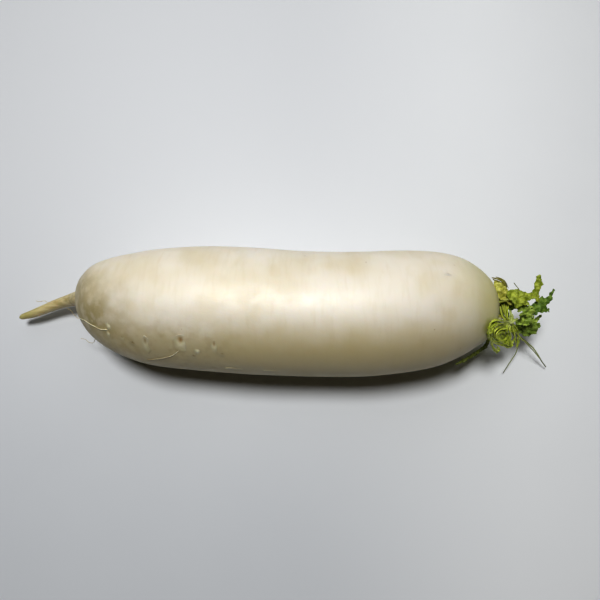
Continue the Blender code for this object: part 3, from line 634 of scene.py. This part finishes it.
def fibre_tree():
    """Thin fibres round lines: each line many times over, every copy strayed and curled by chance."""
    tree, given, result = geometry_tree("torn fibres", {
        "Copies": 5, "Spread": 0.0032, "Spread size": 0.007, "Curl": 0.0012, "Curl size": 0.0022,
        "Base held": 0.3, "Thickness": 0.6, "Sides": 6, "Finish": None})
    joined = {0: curve_of(given), 2: given["Copies"]}
    copies = add("GeometryNodeDuplicateElements", joined, domain="SPLINE").outputs
    curve = stored(copies[0], "copy", copies[1])
    number = plus(times(named(tree, "copy"), 0.37), named(tree, "line"))
    curve = stored(curve, "shade", maths("FRACT", times(number, 1.618)))
    apart = (5.3, 7.9, 3.7)
    stray = strayed(tree, number, apart, given["Spread"], given["Spread size"])
    curl = strayed(tree, number, apart, given["Curl"], given["Curl size"])
    held = ranged(named(tree, "share"), 0.0, given["Base held"])
    curve = shifted(curve, scaled(vectors("ADD", stray, curl), held))
    girth = times(named(tree, "girth"), given["Thickness"])
    return closing(tree, tube_along(curve, given["Sides"], girth), given["Finish"], result)


def centred(place, size, detail):
    """Noise about zero, with features about size across."""
    spread = scaled(place, maths("DIVIDE", 1.0, size))
    return minus(noise_of(spread, detail), 0.5)


def root_tree():
    """The root's skin: rings that stand upright in the stout body and square to the line in the tail."""
    tree, given, result = geometry_tree("root skin", {
        "Sides": 200, "Slanted under": 0.004, "Upright over": 0.013, "Swell": 0.0004, "Swell size": 0.03,
        "Crease": 0.00004, "Crease size": 0.004, "Relief from": 0.0005, "Relief full": 0.02, "Finish": None})
    curve = stored(curve_of(given), "middle", position(tree), "FLOAT_VECTOR")
    heading = split(add("GeometryNodeInputTangent", (), tree).outputs[0])
    crownward = joined_up(maths("ABSOLUTE", heading[0]), heading[1], heading[2])
    curve = stored(curve, "ahead", crownward, "FLOAT_VECTOR")
    body = tube_along(curve, given["Sides"], 0.001)
    girth = named(tree, "girth")
    upright = ranged(girth, given["Slanted under"], given["Upright over"])
    leaning = scaled(named(tree, "ahead", "FLOAT_VECTOR"), minus(1.0, upright))
    along = vectors("ADD", leaning, scaled((1.0, 0.0, 0.0), upright))
    along = vectors("NORMALIZE", along)
    side = vectors("NORMALIZE", vectors("CROSS_PRODUCT", along, (0.0, 0.0, 1.0)))
    rise = vectors("CROSS_PRODUCT", side, along)
    turn = named(tree, "turn")
    outward = vectors("ADD", scaled(rise, maths("COSINE", turn)),
                      scaled(side, maths("SINE", turn)))
    smooth = vectors("ADD", named(tree, "middle", "FLOAT_VECTOR"), scaled(outward, girth))
    swell = times(centred(smooth, given["Swell size"], 1.0), given["Swell"])
    ringed = vectors("MULTIPLY", smooth, (1.0, 0.12, 0.12))
    crease = times(centred(ringed, given["Crease size"], 3.0), given["Crease"])
    stout = ranged(girth, given["Relief from"], given["Relief full"])
    relief = times(plus(swell, crease), stout)
    parts = split(vectors("ADD", smooth, scaled(outward, relief)))
    rested = joined_up(parts[0], parts[1], maths("MAXIMUM", parts[2], 0.0))
    return closing(tree, put(body, rested), given["Finish"], result)


def scar_tree():
    """Low swellings on the skin, sunk round their rim, each with a small pit on its upper side."""
    tree, given, result = geometry_tree("scars", {
        "Segments": 36, "Rings": 26, "Rise": 0.0006, "Pit depth": 0.3, "Pit place": 0.46, "Pit size": 0.34,
        "Steepness": 2.4, "Sunk": 0.28, "Root depth": 1.5, "Roughness": 0.35, "Grain": 0.0011,
        "Finish": None})
    ball = add("GeometryNodeMeshUVSphere", {
        "Segments": given["Segments"], "Rings": given["Rings"], "Radius": 1.0}).outputs[0]
    parts = split(position(tree))
    away = squared_length(parts[0], parts[1])
    pit_away = squared_length(parts[0], minus(parts[1], given["Pit place"]))
    pit_width = times(given["Pit size"], given["Pit size"])
    pit = maths("EXPONENT", maths("DIVIDE", times(pit_away, -1.0), pit_width))
    steep = times(given["Steepness"], -1.0)
    swelling = maths("EXPONENT", times(away, steep))
    ball = stored(stored(ball, "pit", pit), "swelling", swelling)
    sunk = minus(minus(swelling, given["Sunk"]), times(pit, given["Pit depth"]))
    upper = maths("GREATER_THAN", parts[2], -0.001)
    raised = times(upper, plus(sunk, given["Root depth"]))
    level = minus(raised, given["Root depth"])
    ball = put(ball, joined_up(parts[0], parts[1], level))
    facing = add("FunctionNodeAxesToRotation", {
        0: named(tree, "outward", "FLOAT_VECTOR"), 1: (1.0, 0.0, 0.0)},
        primary_axis="Z", secondary_axis="X").outputs[0]
    size = named(tree, "girth")
    scale = joined_up(times(size, named(tree, "stretch")), size, named(tree, "rise"))
    marks = add("GeometryNodeInstanceOnPoints", {
        0: given["Geometry"], 2: ball, 5: facing, 6: scale}).outputs[0]
    real = add("GeometryNodeRealizeInstances", {0: marks}).outputs[0]
    real = stored(real, "brownness", times(named(tree, "brownness"), named(tree, "pit")))
    real = stored(real, "paleness", times(named(tree, "paleness"), named(tree, "swelling")))
    rough = centred(position(tree), given["Grain"], 2.0)
    reach = times(times(given["Rise"], given["Roughness"]), named(tree, "swelling"))
    return closing(tree, pushed_out(real, times(rough, reach)), given["Finish"], result)


def squared_length(along, across):
    return plus(times(along, along), times(across, across))


def linked(name, data):
    """A new object in the scene."""
    made = bpy.data.objects.new(name, data)
    bpy.context.scene.collection.objects.link(made)
    return made


def grown(name, lines, tree, sizes):
    """A plain mesh piece grown by a tree on lines or points, with its modifier gone."""
    base = linked(name, lines)
    grower = base.modifiers.new("grow", "NODES")
    grower.node_group = tree
    for socket in tree.interface.items_tree:
        if socket.in_out == "INPUT" and socket.name in sizes:
            grower[socket.identifier] = sizes[socket.name]
    graph = bpy.context.evaluated_depsgraph_get()
    made = bpy.data.meshes.new_from_object(
        base.evaluated_get(graph), preserve_all_data_layers=True, depsgraph=graph)
    base.modifiers.clear()
    base.data = made
    made.name = name
    turn_outward(made)
    return base


def turn_outward(mesh):
    """Merges doubled corners, then turns every face outwards."""
    work = bmesh.new()
    work.from_mesh(mesh)
    bmesh.ops.remove_doubles(work, verts=work.verts, dist=DOUBLES_APART)
    bmesh.ops.recalc_face_normals(work, faces=work.faces)
    work.to_mesh(mesh)
    work.free()


def stroke_field(x, y, strokes, ragged):
    """How deep inside the melted strokes each plan point lies, the blade's height there, and its veins."""
    depths, heights, veins = [], [], []
    for (x0, y0, z0, half0), (x1, y1, z1, half1) in strokes:
        run, climb = x1 - x0, y1 - y0
        length = math.hypot(run, climb)
        share = np.clip(((x - x0) * run + (y - y0) * climb) / length ** 2, 0, 1)
        away = np.hypot(x - x0 - share * run, y - y0 - share * climb)
        notch = ragged * NOTCH_DEPTH * np.cos(2 * math.pi * share * length / NOTCH_PITCH)
        depths.append(half0 + share * (half1 - half0) + notch - away)
        heights.append(z0 + share * (z1 - z0))
        rib = np.exp(-(away / RIB_WIDTH) ** 2)
        slanted = share * length - away / VEIN_LEAN
        side = np.maximum(np.cos(2 * math.pi * slanted / VEIN_PITCH), 0) ** VEIN_SHARPNESS
        veins.append(np.maximum(rib, SIDE_VEIN_SHARE * side))
    depths = np.array(depths)
    deepest = depths.max(axis=0)
    melted = EDGE_MELT * np.log(np.exp((depths - deepest) / EDGE_MELT).sum(axis=0))
    shares = np.exp((depths - deepest) / HEIGHT_MELT)
    near = np.exp((depths - deepest) / VEIN_MELT)
    vein = (near * np.array(veins)).sum(axis=0) / near.sum(axis=0)
    wave = 2 * math.pi / RUFFLE_PITCH
    ruffle = RUFFLE_RISE * np.sin(wave * (x + 0.6 * y)) * np.cos(wave * (0.8 * y - 0.3 * x))
    teeth = ragged * TOOTH_DEPTH * cloud(x / TOOTH_SIZE, y / TOOTH_SIZE, TOOTH_LAYER)
    return deepest + melted + teeth, (shares * heights).sum(axis=0) / shares.sum(axis=0) + ruffle, vein


def cloud(x, y, layer):
    """Noise from -1 to 1 at each plan point."""
    points = zip(np.ravel(x), np.ravel(y))
    return np.array([noise.noise((a, b, layer)) for a, b in points]).reshape(np.shape(x))


def plan_grid(strokes):
    """A triangular grid over the strokes: its points, and the three corners of each triangle."""
    ends = np.array([end for stroke in strokes for end in stroke])
    low = (ends[:, :2] - ends[:, 3:]).min(axis=0) - 3 * BLADE_GRID
    high = (ends[:, :2] + ends[:, 3:]).max(axis=0) + 3 * BLADE_GRID
    columns = int((high[0] - low[0]) / BLADE_GRID) + 2
    rows = int((high[1] - low[1]) / (BLADE_GRID * math.sqrt(0.75))) + 2
    row, column = np.mgrid[0:rows, 0:columns]
    x = low[0] + BLADE_GRID * (column + 0.5 * (row % 2))
    y = low[1] + BLADE_GRID * math.sqrt(0.75) * row
    corner = row[:-1, :-1] * columns + column[:-1, :-1]
    even = (row[:-1, :-1] % 2 == 0).ravel()
    a, b = corner.ravel(), corner.ravel() + 1
    d, e = a + columns, b + columns
    first = np.column_stack([a, b, np.where(even, d, e)])
    second = np.column_stack([np.where(even, b, a), e, d])
    return x.ravel(), y.ravel(), np.vstack([first, second])


def snap_to_edge(x, y, strokes, ragged):
    """Moves the grid points nearest the blade's edge onto it, so that no thin slivers are cut."""
    nudge = BLADE_GRID / 50
    depth = stroke_field(x, y, strokes, ragged)[0]
    slope_x = (stroke_field(x + nudge, y, strokes, ragged)[0] - depth) / nudge
    slope_y = (stroke_field(x, y + nudge, strokes, ragged)[0] - depth) / nudge
    steep = slope_x ** 2 + slope_y ** 2
    near = (abs(depth) < EDGE_SNAP * BLADE_GRID) & (steep > LEAST_SLOPE)
    x = np.where(near, x - depth * slope_x / np.maximum(steep, LEAST_SLOPE), x)
    y = np.where(near, y - depth * slope_y / np.maximum(steep, LEAST_SLOPE), y)
    return x, y, np.where(near, 0.0, stroke_field(x, y, strokes, ragged)[0])


def clipped_plan(strokes, ragged):
    """The blade in plan: points, and triangles clipped at its edge."""
    x, y, triangles = plan_grid(strokes)
    x, y, depth = snap_to_edge(x, y, strokes, ragged)
    points = list(zip(x, y))
    crossings = {}

    def crossing(a, b):
        pair = (min(a, b), max(a, b))
        if pair not in crossings:
            share = depth[a] / (depth[a] - depth[b])
            crossings[pair] = len(points)
            points.append((x[a] + share * (x[b] - x[a]), y[a] + share * (y[b] - y[a])))
        return crossings[pair]

    faces = []
    for triangle in triangles[depth[triangles].max(axis=1) > 0]:
        outline = []
        for a, b in zip(triangle, np.roll(triangle, -1)):
            if depth[a] >= 0:
                outline.append(a)
            if depth[a] * depth[b] < 0:
                outline.append(crossing(a, b))
        faces += [(outline[0], outline[n], outline[n + 1]) for n in range(1, len(outline) - 1)]
    return np.array(points), np.array(faces)


def blade(name, strokes, finish, layer, ragged=1.0):
    """A thin lobed sheet on its strokes: veined, crumpled, and frilled towards its edge."""
    plan, faces = clipped_plan(strokes, ragged)
    used, faces = np.unique(faces, return_inverse=True)
    faces = faces.reshape(-1, 3)
    x, y = plan[used].T
    depth, height, vein = stroke_field(x, y, strokes, ragged)
    rim = np.exp(-np.maximum(depth, 0) / FRILL_WIDTH)
    crumple = ragged * CRUMPLE_RISE * cloud(x / CRUMPLE_SIZE, y / CRUMPLE_SIZE, layer + CRUMPLE_LAYER)
    frill = FRILL_RISE * rim * cloud(x / FRILL_SIZE, y / FRILL_SIZE, layer + FRILL_LAYER)
    sheet = np.column_stack([x, y, height + crumple + frill - VEIN_DEPTH * vein])
    normals = np.zeros_like(sheet)
    across = np.cross(sheet[faces[:, 1]] - sheet[faces[:, 0]], sheet[faces[:, 2]] - sheet[faces[:, 0]])
    for corner in range(3):
        np.add.at(normals, faces[:, corner], across)
    normals /= np.linalg.norm(normals, axis=1, keepdims=True)
    half = 0.5 * BLADE_THICKNESS * (1 - RIM_THINNING * rim)[:, None]
    count = len(sheet)
    edges = {(a, b) for face in faces.tolist() for a, b in zip(face, face[1:] + face[:1])}
    walls = [(b, a, a + count, b + count) for a, b in edges if (b, a) not in edges]
    made = bpy.data.meshes.new(name)
    made.from_pydata(np.vstack([sheet + normals * half, sheet - normals * half]).tolist(), [],
                     faces.tolist() + (faces[:, ::-1] + count).tolist() + walls)
    keep_values(made, {"vein": np.tile(vein, 2), "rim": np.tile(rim, 2)})
    made.materials.append(finish)
    made.shade_smooth()
    return linked(name, made)


def placed(piece, node, slot):
    """Lets a piece ride on the root in the place of its node; the node's finish slot is not used."""
    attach(piece, "root")
    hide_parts(node)
    return piece


def layered(tone, *layers):
    """Lays each colour over the tone in turn, by its share."""
    for share, over in layers:
        tone = blended(share, tone, over)
    return tone


def skin(name):
    return colour(*SKIN_TONES[name])


def skin_finish():
    """Cream skin: khaki at the tail, green at the crown, painted shade low on the near side, faint rings,
    stains, specks and scars.
    """
    made, tree, place = finish_tree("radish skin", 0.45, 0.25, (0.006, 0.004, 0.002))
    inputs = tree.nodes["Principled BSDF"].inputs
    for label, value in SKIN_SHINE.items():
        inputs[label].default_value = value
    parts = split(place)
    even = ranged(grain(place, 0.030), 0.35, 0.65)
    crown = ranged(plus(parts[0], uneven(place, 0.020, 0.020)), 0.090, 0.128)
    streaks = ranged(grain(place, 0.0030, 4.0, (1.0, 5.0, 5.0)), 0.45, 0.80)
    clouds = ranged(grain(place, 0.011, 3.0, (1.0, 1.6, 1.6)), 0.50, 0.72)
    tone = layered(
        skin("plain"),
        (even, skin("light")),
        (tail_stain(place, parts), skin("towards the tail")),
        (ranged(parts[0], -0.1315, -0.1350), tail_tone(place, parts)),
        (times(crown, 0.85), skin("crown end")),
        (fibre_ball_patch(place), skin("under the fibres")),
        # painted shade: darker, browner skin low on the near side
        (flank_painted_shade(place, parts), skin("near flank shade")),
        (times(streaks, 0.13), skin("streaks")),
        (blotches(place, parts), skin("blotches")),
        (times(clouds, 0.13), skin("clouds")),
        (times(specks(place), 0.45), skin("specks")),
        (times(kept(tree, "paleness"), 0.85), skin("scar")),
        (times(kept(tree, "brownness"), 0.9), skin("scar pit")))
    rough = ranged(grain(place, 0.008, 3.0), 0.3, 0.7, 0.48, 0.60)
    tree.links.new(rough, inputs["Roughness"])
    pores = times(grain(place, 0.0011, 3.0), 0.5)
    rings = times(grain(place, 0.0020, 3.0, (1.0, 10.0, 10.0)), 0.2)
    return painted(made, tone, plus(pores, rings), 0.00014, 0.5)


def uneven(place, size, reach):
    """A slow wander, half the reach to either side, that keeps a change of tone from being straight."""
    return times(minus(grain(place, size, 3.0), 0.5), reach)


def tail_stain(place, parts):
    """How khaki the skin is: from the thick end's shoulder down to the tail, more so on the near side."""
    wandering = plus(parts[0], uneven(place, 0.018, 0.050))
    leaning = plus(wandering, times(parts[1], 1.1))
    mottled = ranged(grain(place, 0.006, 4.0), 0.30, 0.60, 0.6, 1.0)
    return times(ranged(leaning, -0.070, -0.128), mottled)


def blotches(place, parts):
    """Small khaki blotches on the thick end, all round its near side, where the scars are."""
    spotted = times(ranged(grain(place, 0.0055, 1.5), 0.46, 0.72), 0.30)
    along = ranged(parts[0], -0.010, -0.060)
    return times(spotted, times(along, ranged(parts[1], -0.006, -0.024)))


def specks(place):
    """Fine brown specks, one in about seven of the cells that the skin is parted into."""
    cells = add("ShaderNodeTexVoronoi", {0: place, 2: 110.0}).outputs
    chosen = maths("GREATER_THAN", split(cells[1])[0], 0.86)
    return times(ranged(cells[0], 0.055, 0.03), chosen)


def flank_painted_shade(place, parts):
    """Painted shade: darker, browner skin from just below the crest down to the underside, on the near side.
    """
    return ranged(plus(parts[1], uneven(place, 0.014, 0.010)), -0.008, -0.030, 0.0, 0.95)


def fibre_ball_patch(place):
    """Darker olive green on the shoulder where the ball of torn fibres leans."""
    away = add("ShaderNodeVectorMath", {0: place, 1: FIBRE_BALL_PLACE}, operation="DISTANCE").outputs[1]
    return ranged(plus(away, uneven(place, 0.004, 0.003)), 0.0065, 0.0015, 0.0, 0.8)


def tail_tone(place, parts):
    """The tail: khaki with paler lengthwise streaks, and greenish at its cut tip."""
    streak = ranged(grain(place, 0.0016, 4.0, (7.0, 1.0, 1.0)), 0.35, 0.65)
    tip = times(ranged(parts[0], -0.158, -0.176), 0.6)
    return layered(skin("tail"), (streak, skin("tail streaks")), (tip, skin("tail tip")))


def rootlet_finish():
    """Rootlets: pale and translucent, browner towards the tip."""
    made, tree, place = finish_tree("rootlet", 0.5, 0.3, (0.002, 0.001, 0.0006))
    mottled = times(ranged(grain(place, 0.002), 0.4, 0.7), 0.5)
    tone = layered(skin("rootlet"),
                   (ranged(kept(tree, "share"), 0.2, 1.0), skin("rootlet tip")),
                   (mottled, skin("rootlet mottles")))
    return painted(made, tone, grain(place, 0.0005), 0.0001)


def leaf_finish(name):
    """A leaf: mottled green, with paler veins and a darker crumpled rim."""
    shade, light, tip, rib = [colour(*tone) for tone in LEAF_TONES[name]]
    made, tree, place = finish_tree(name, 0.55, 0.25, (0.0012, 0.0012, 0.0003))
    tone = layered(shade,
                   (ranged(grain(place, 0.0028, 3.0), 0.35, 0.65), light),
                   (times(ranged(kept(tree, "vein"), 0.3, 1.0), 0.6), rib),
                   (times(ranged(kept(tree, "rim"), 0.4, 1.0), 0.5), tip))
    return painted(made, tone, grain(place, 0.0007, 4.0), 0.0003, 0.8)


def stalk_finish(name):
    """A leaf stalk: fine lengthwise streaks, and its own tone towards the tip."""
    shade, light, end = [colour(*tone) for tone in STALK_TONES[name]]
    made, tree, place = finish_tree(name, 0.4, 0.3, (0.0015, 0.0012, 0.0004))
    stripe = ranged(maths("SINE", times(kept(tree, "turn"), 5.0)), -0.6, 0.9)
    mottled = times(ranged(grain(place, 0.003, 3.0), 0.3, 0.7), stripe)
    tone = layered(shade, (mottled, light),
                   (times(ranged(kept(tree, "share"), 0.75, 1.0), 0.7), end))
    return painted(made, tone, grain(place, 0.0006, 3.0), 0.0001, 0.6)


def fibre_finish():
    """Torn fibres: pale yellow-green to mid green, each with its own shade, and pale at its base."""
    shade, light, deep, pale = [colour(*tone) for tone in FIBRE_TONES]
    made, tree, place = finish_tree("torn fibre", 0.45, 0.3, (0.0012, 0.0012, 0.0004))
    tone = layered(shade,
                   (ranged(grain(place, 0.0024, 3.0), 0.35, 0.65), light),
                   (times(kept(tree, "shade"), 0.6), deep),
                   (times(ranged(kept(tree, "share"), 0.2, 0.0), 0.7), pale))
    return painted(made, tone, grain(place, 0.0005, 3.0), 0.0001, 0.6)


def floor_finish():
    """A plain pale floor with a soft shine, and painted light: a little lighter away from the camera and to
    the right.
    """
    near, far, right, mottled = [colour(*tone) for tone in FLOOR_TONES]
    made, tree, place = finish_tree("floor", 0.5)
    parts = split(place)
    tone = layered(near,
                   # painted light: the floor lighter away from the camera and to the right
                   (ranged(parts[1], -0.14, 0.10), far),
                   (ranged(parts[0], -0.01, 0.18), right),
                   (times(grain(place, 0.05), 0.2), mottled))
    tree.links.new(tone, tree.nodes["Principled BSDF"].inputs["Base Color"])
    return made


def on_root(x, turn):
    """The point of the root's skin at a place along it, at a turn from the top, and its outward way."""
    rows = smooth_path(BODY, PATH_STEPS)
    y, z, radius = (np.interp(x, rows[:, 0], rows[:, column]) for column in (1, 2, 3))
    slope = (np.interp(x + SLOPE_STEP, rows[:, 0], rows[:, 3]) - radius) / SLOPE_STEP
    side = Vector((0, math.sin(math.radians(turn)), math.cos(math.radians(turn))))
    outward = (side - Vector((float(slope), 0, 0))).normalized()
    return Vector((x, y, z)) + side * float(radius), outward


def scar_points():
    """A point for each scar on the skin, with its size, its tones and its outward way."""
    spots = [on_root(x / TENTHS, turn) for x, turn, *sizes in SCARS]
    points = bpy.data.meshes.new("scar places")
    points.from_pydata([place[:] for place, outward in spots], [], [])
    half, stretch, brown, pale = np.array([sizes for x, turn, *sizes in SCARS]).T
    keep_values(points, {
        "girth": SCAR_GIRTH * (half / TENTHS), "stretch": stretch,
        "rise": SCAR_RISE * (0.25 + 0.75 * pale), "brownness": brown, "paleness": pale})
    ways = points.attributes.new("outward", "FLOAT_VECTOR", "POINT")
    ways.data.foreach_set("vector", [part for place, outward in spots for part in outward])
    return points


def strung(name, home, routes, tree, sizes):
    """A piece grown by a tree along routes, in the place of its home's node; its home also holds a finish
    slot.
    """
    return placed(grown(name, line_mesh(name + " lines", routes), tree, sizes), *home)


def all_routed(routes, radii):
    return [routed(route, radii) for route in routes]


def root_pieces(strands):
    """The root's skin, its scars and its rootlets."""
    finish = skin_finish()
    rows = np.vstack([TAIL_END, smooth_path(TAIL + BODY, PATH_STEPS), CROWN_RIM])
    strung("root_skin", ROOT, [even_rows(rows, RING_SPACING)], root_tree(), {
        "Sides": ROOT_SIDES, "Slanted under": SLANTED_UNDER, "Upright over": UPRIGHT_OVER, "Finish": finish})
    placed(grown("root_scars", scar_points(), scar_tree(), {"Finish": finish}), *ROOT)
    strung("rootlets", ROOT, all_routed(ROOTLETS, ROOTLET_RADII), strands, {
        "Sides": 8, "Waver": 0.0003, "Waver size": 0.004, "Finish": rootlet_finish()})


def crown_pieces(strands):
    """The crown's dome, its cut stubs, the dry sheath under the arch and the thin dark hairs."""
    dome = even_rows(np.array([(x, CROWN_Y, CROWN_Z, radius) for x, radius in DOME]), LINE_SPACING)
    routes = [dome] + [routed(metres(route), metres([radii])[0]) for route, radii in STUBS]
    strung("crown_stubs", CROWN, routes, strands, {
        "Sides": 26, "Ridges": 7, "Ridge depth": 0.07, "Waver": 0.0006,
        "Finish": stalk_finish("crown flesh")})
    placed(blade("crown_sheath", SHEATH_BLADE, leaf_finish("crown sheath"), 24.0), *CROWN)
    strung("crown_hairs", CROWN, all_routed(ARCH_HAIR, HAIR_RADII), strands, {
        "Sides": 8, "Waver": 0.0003, "Waver size": 0.003, "Finish": stalk_finish("crown hair")})


def leaf_pieces(strands):
    """The four leaves, each in two pieces, and the crinkled bits between them."""
    young, dark, strap, curly, crinkled = [leaf_finish(kind + " leaf") for kind in (
        "young", "dark", "strap", "curly", "crinkled")]
    pale, deep = stalk_finish("young stalk"), stalk_finish("dark stalk")
    for node, slot, route, strokes, finish, stalk, layer, ragged in [
            ("upper_leaf", "young_leaf", UPPER_STALK, UPPER_BLADE, young, pale, 0.0, 1.0),
            ("dark_leaf", "dark_leaf", DARK_STALK, DARK_BLADE, dark, deep, 3.0, 1.0),
            ("curly_leaf", "dark_leaf", CURLY_STALK, CURLY_BLADE, curly, deep, 6.0, 1.2),
            ("strap_leaf", "young_leaf", STRAP_STALK, STRAP_BLADE, strap, pale, 9.0, 0.5)]:
        home = (node, slot)
        placed(blade(node + "_blade", strokes, finish, layer, ragged), *home)
        sunk = [(x, y, z - STALK_SINK * min(max((x - STALK_FREE) / STALK_RUN, 0), 1)) for x, y, z in route]
        line = [routed(sunk, LEAF_STALK_RADII)]
        strung(node + "_stalk", home, line, strands, {"Sides": 12, "Finish": stalk})
    placed(blade("middle_bits", MIDDLE_BLADE, crinkled, 15.0, 1.4), "dark_leaf", "dark_leaf")
    placed(blade("shaded_bits", SHADE_BLADE, curly, 18.0), "curly_leaf", "dark_leaf")


def torn_pieces(strands):
    """The torn stalk: the leaf shreds, its knot, its thin base lines, its strands and the ball of fibres."""
    fibre = fibre_finish()
    placed(blade("torn_shreds", BALL_BLADE, leaf_finish("torn leaf"), 12.0, 1.2), *TORN)
    placed(blade("torn_knot", HUB_BLADE, leaf_finish("pale knot"), 21.0, 0.4), *TORN)
    lines = [routed(TORN_STALK, TORN_RADII)] + all_routed(BASE_LINES, BASE_RADII)
    strung("torn_base", TORN, lines, strands, {
        "Sides": 10, "Waver": 0.0004, "Waver size": 0.004, "Finish": stalk_finish("torn base")})
    strung("torn_strands", TORN, all_routed(TORN_STRANDS, CURL_RADII), strands, {
        "Sides": 8, "Waver": 0.0005, "Waver size": 0.003, "Finish": fibre})
    strung("torn_fibres", TORN, all_routed(BALL_LINES, FIBRE_RADII), fibre_tree(), {"Finish": fibre})


def bare_pieces(strands):
    """The bare stalk with its side shoots, grey-green and dark at their dried tips."""
    lines = [routed(BARE_STALK, BARE_RADII)] + all_routed(BARE_STRANDS, SHOOT_RADII)
    strung("bare_strands", BARE, lines, strands, {
        "Sides": 10, "Waver": 0.0003, "Waver size": 0.003, "Finish": stalk_finish("bare stalk")})


def hung_lamp(name, power, shape, size, lean, side, distance):
    """A soft lamp over the radish, leaning back and to a side in degrees, and turned to the radish."""
    light = bpy.data.lights.new(name, "AREA")
    light.shape, light.energy = shape, power
    light.size, light.size_y = size
    lamp = linked(name, light)
    way = Vector((math.tan(math.radians(side)), math.tan(math.radians(lean)), 1)).normalized()
    lamp.location = way * distance
    lamp.rotation_euler = way.to_track_quat("Z", "Y").to_euler()


def surroundings():
    """A weak warm fill light, and the plain grey that shows above the floor's far edge."""
    world = bpy.data.worlds.new("surroundings")
    world.use_nodes = True
    tree = world.node_tree
    fill = tree.nodes["Background"]
    fill.inputs[0].default_value = FILL_TONE
    fill.inputs[1].default_value = FILL_STRENGTH
    wall = add("ShaderNodeBackground", {0: WALL_TONE, 1: 1.0}, tree)
    seen = add("ShaderNodeLightPath", (), tree).outputs["Is Camera Ray"]
    both = add("ShaderNodeMixShader", {0: seen, 1: fill.outputs[0], 2: wall.outputs[0]})
    tree.links.new(both.outputs[0], tree.nodes["World Output"].inputs[0])
    return world


def studio():
    """The pale floor, the camera at the photo's angle, a soft lamp above and a wide panel behind."""
    data = bpy.data.meshes.new("floor")
    turns = np.linspace(0, 2 * math.pi, FLOOR_SIDES, endpoint=False)
    corners = [(FLOOR_RADIUS * math.cos(turn), FLOOR_RADIUS * math.sin(turn), FLOOR_LEVEL) for turn in turns]
    data.from_pydata(corners, [], [range(FLOOR_SIDES)])
    data.materials.append(floor_finish())
    floor = linked("floor", data)
    lens = bpy.data.cameras.new("camera")
    lens.lens = CAMERA_LENS
    lens.clip_start = CAMERA_NEAREST
    camera = linked("camera", lens)
    camera.location = CAMERA_PLACE
    camera.rotation_euler = (math.radians(CAMERA_TILT), 0, 0)
    bpy.context.scene.camera = camera
    hung_lamp("key", KEY_POWER, "DISK", (KEY_SIZE, KEY_SIZE), KEY_LEAN, KEY_SIDE, KEY_DISTANCE)
    hung_lamp("panel", PANEL_POWER, "RECTANGLE", PANEL_SIZE, PANEL_LEAN, 0.0, PANEL_DISTANCE)
    bpy.context.scene.world = surroundings()
    bpy.context.scene.view_settings.view_transform = "Standard"
    bpy.context.scene.view_settings.gamma = CONTRAST_GAMMA


def main():
    strands = strand_tree()
    root_pieces(strands)
    crown_pieces(strands)
    leaf_pieces(strands)
    torn_pieces(strands)
    bare_pieces(strands)
    studio()


main()
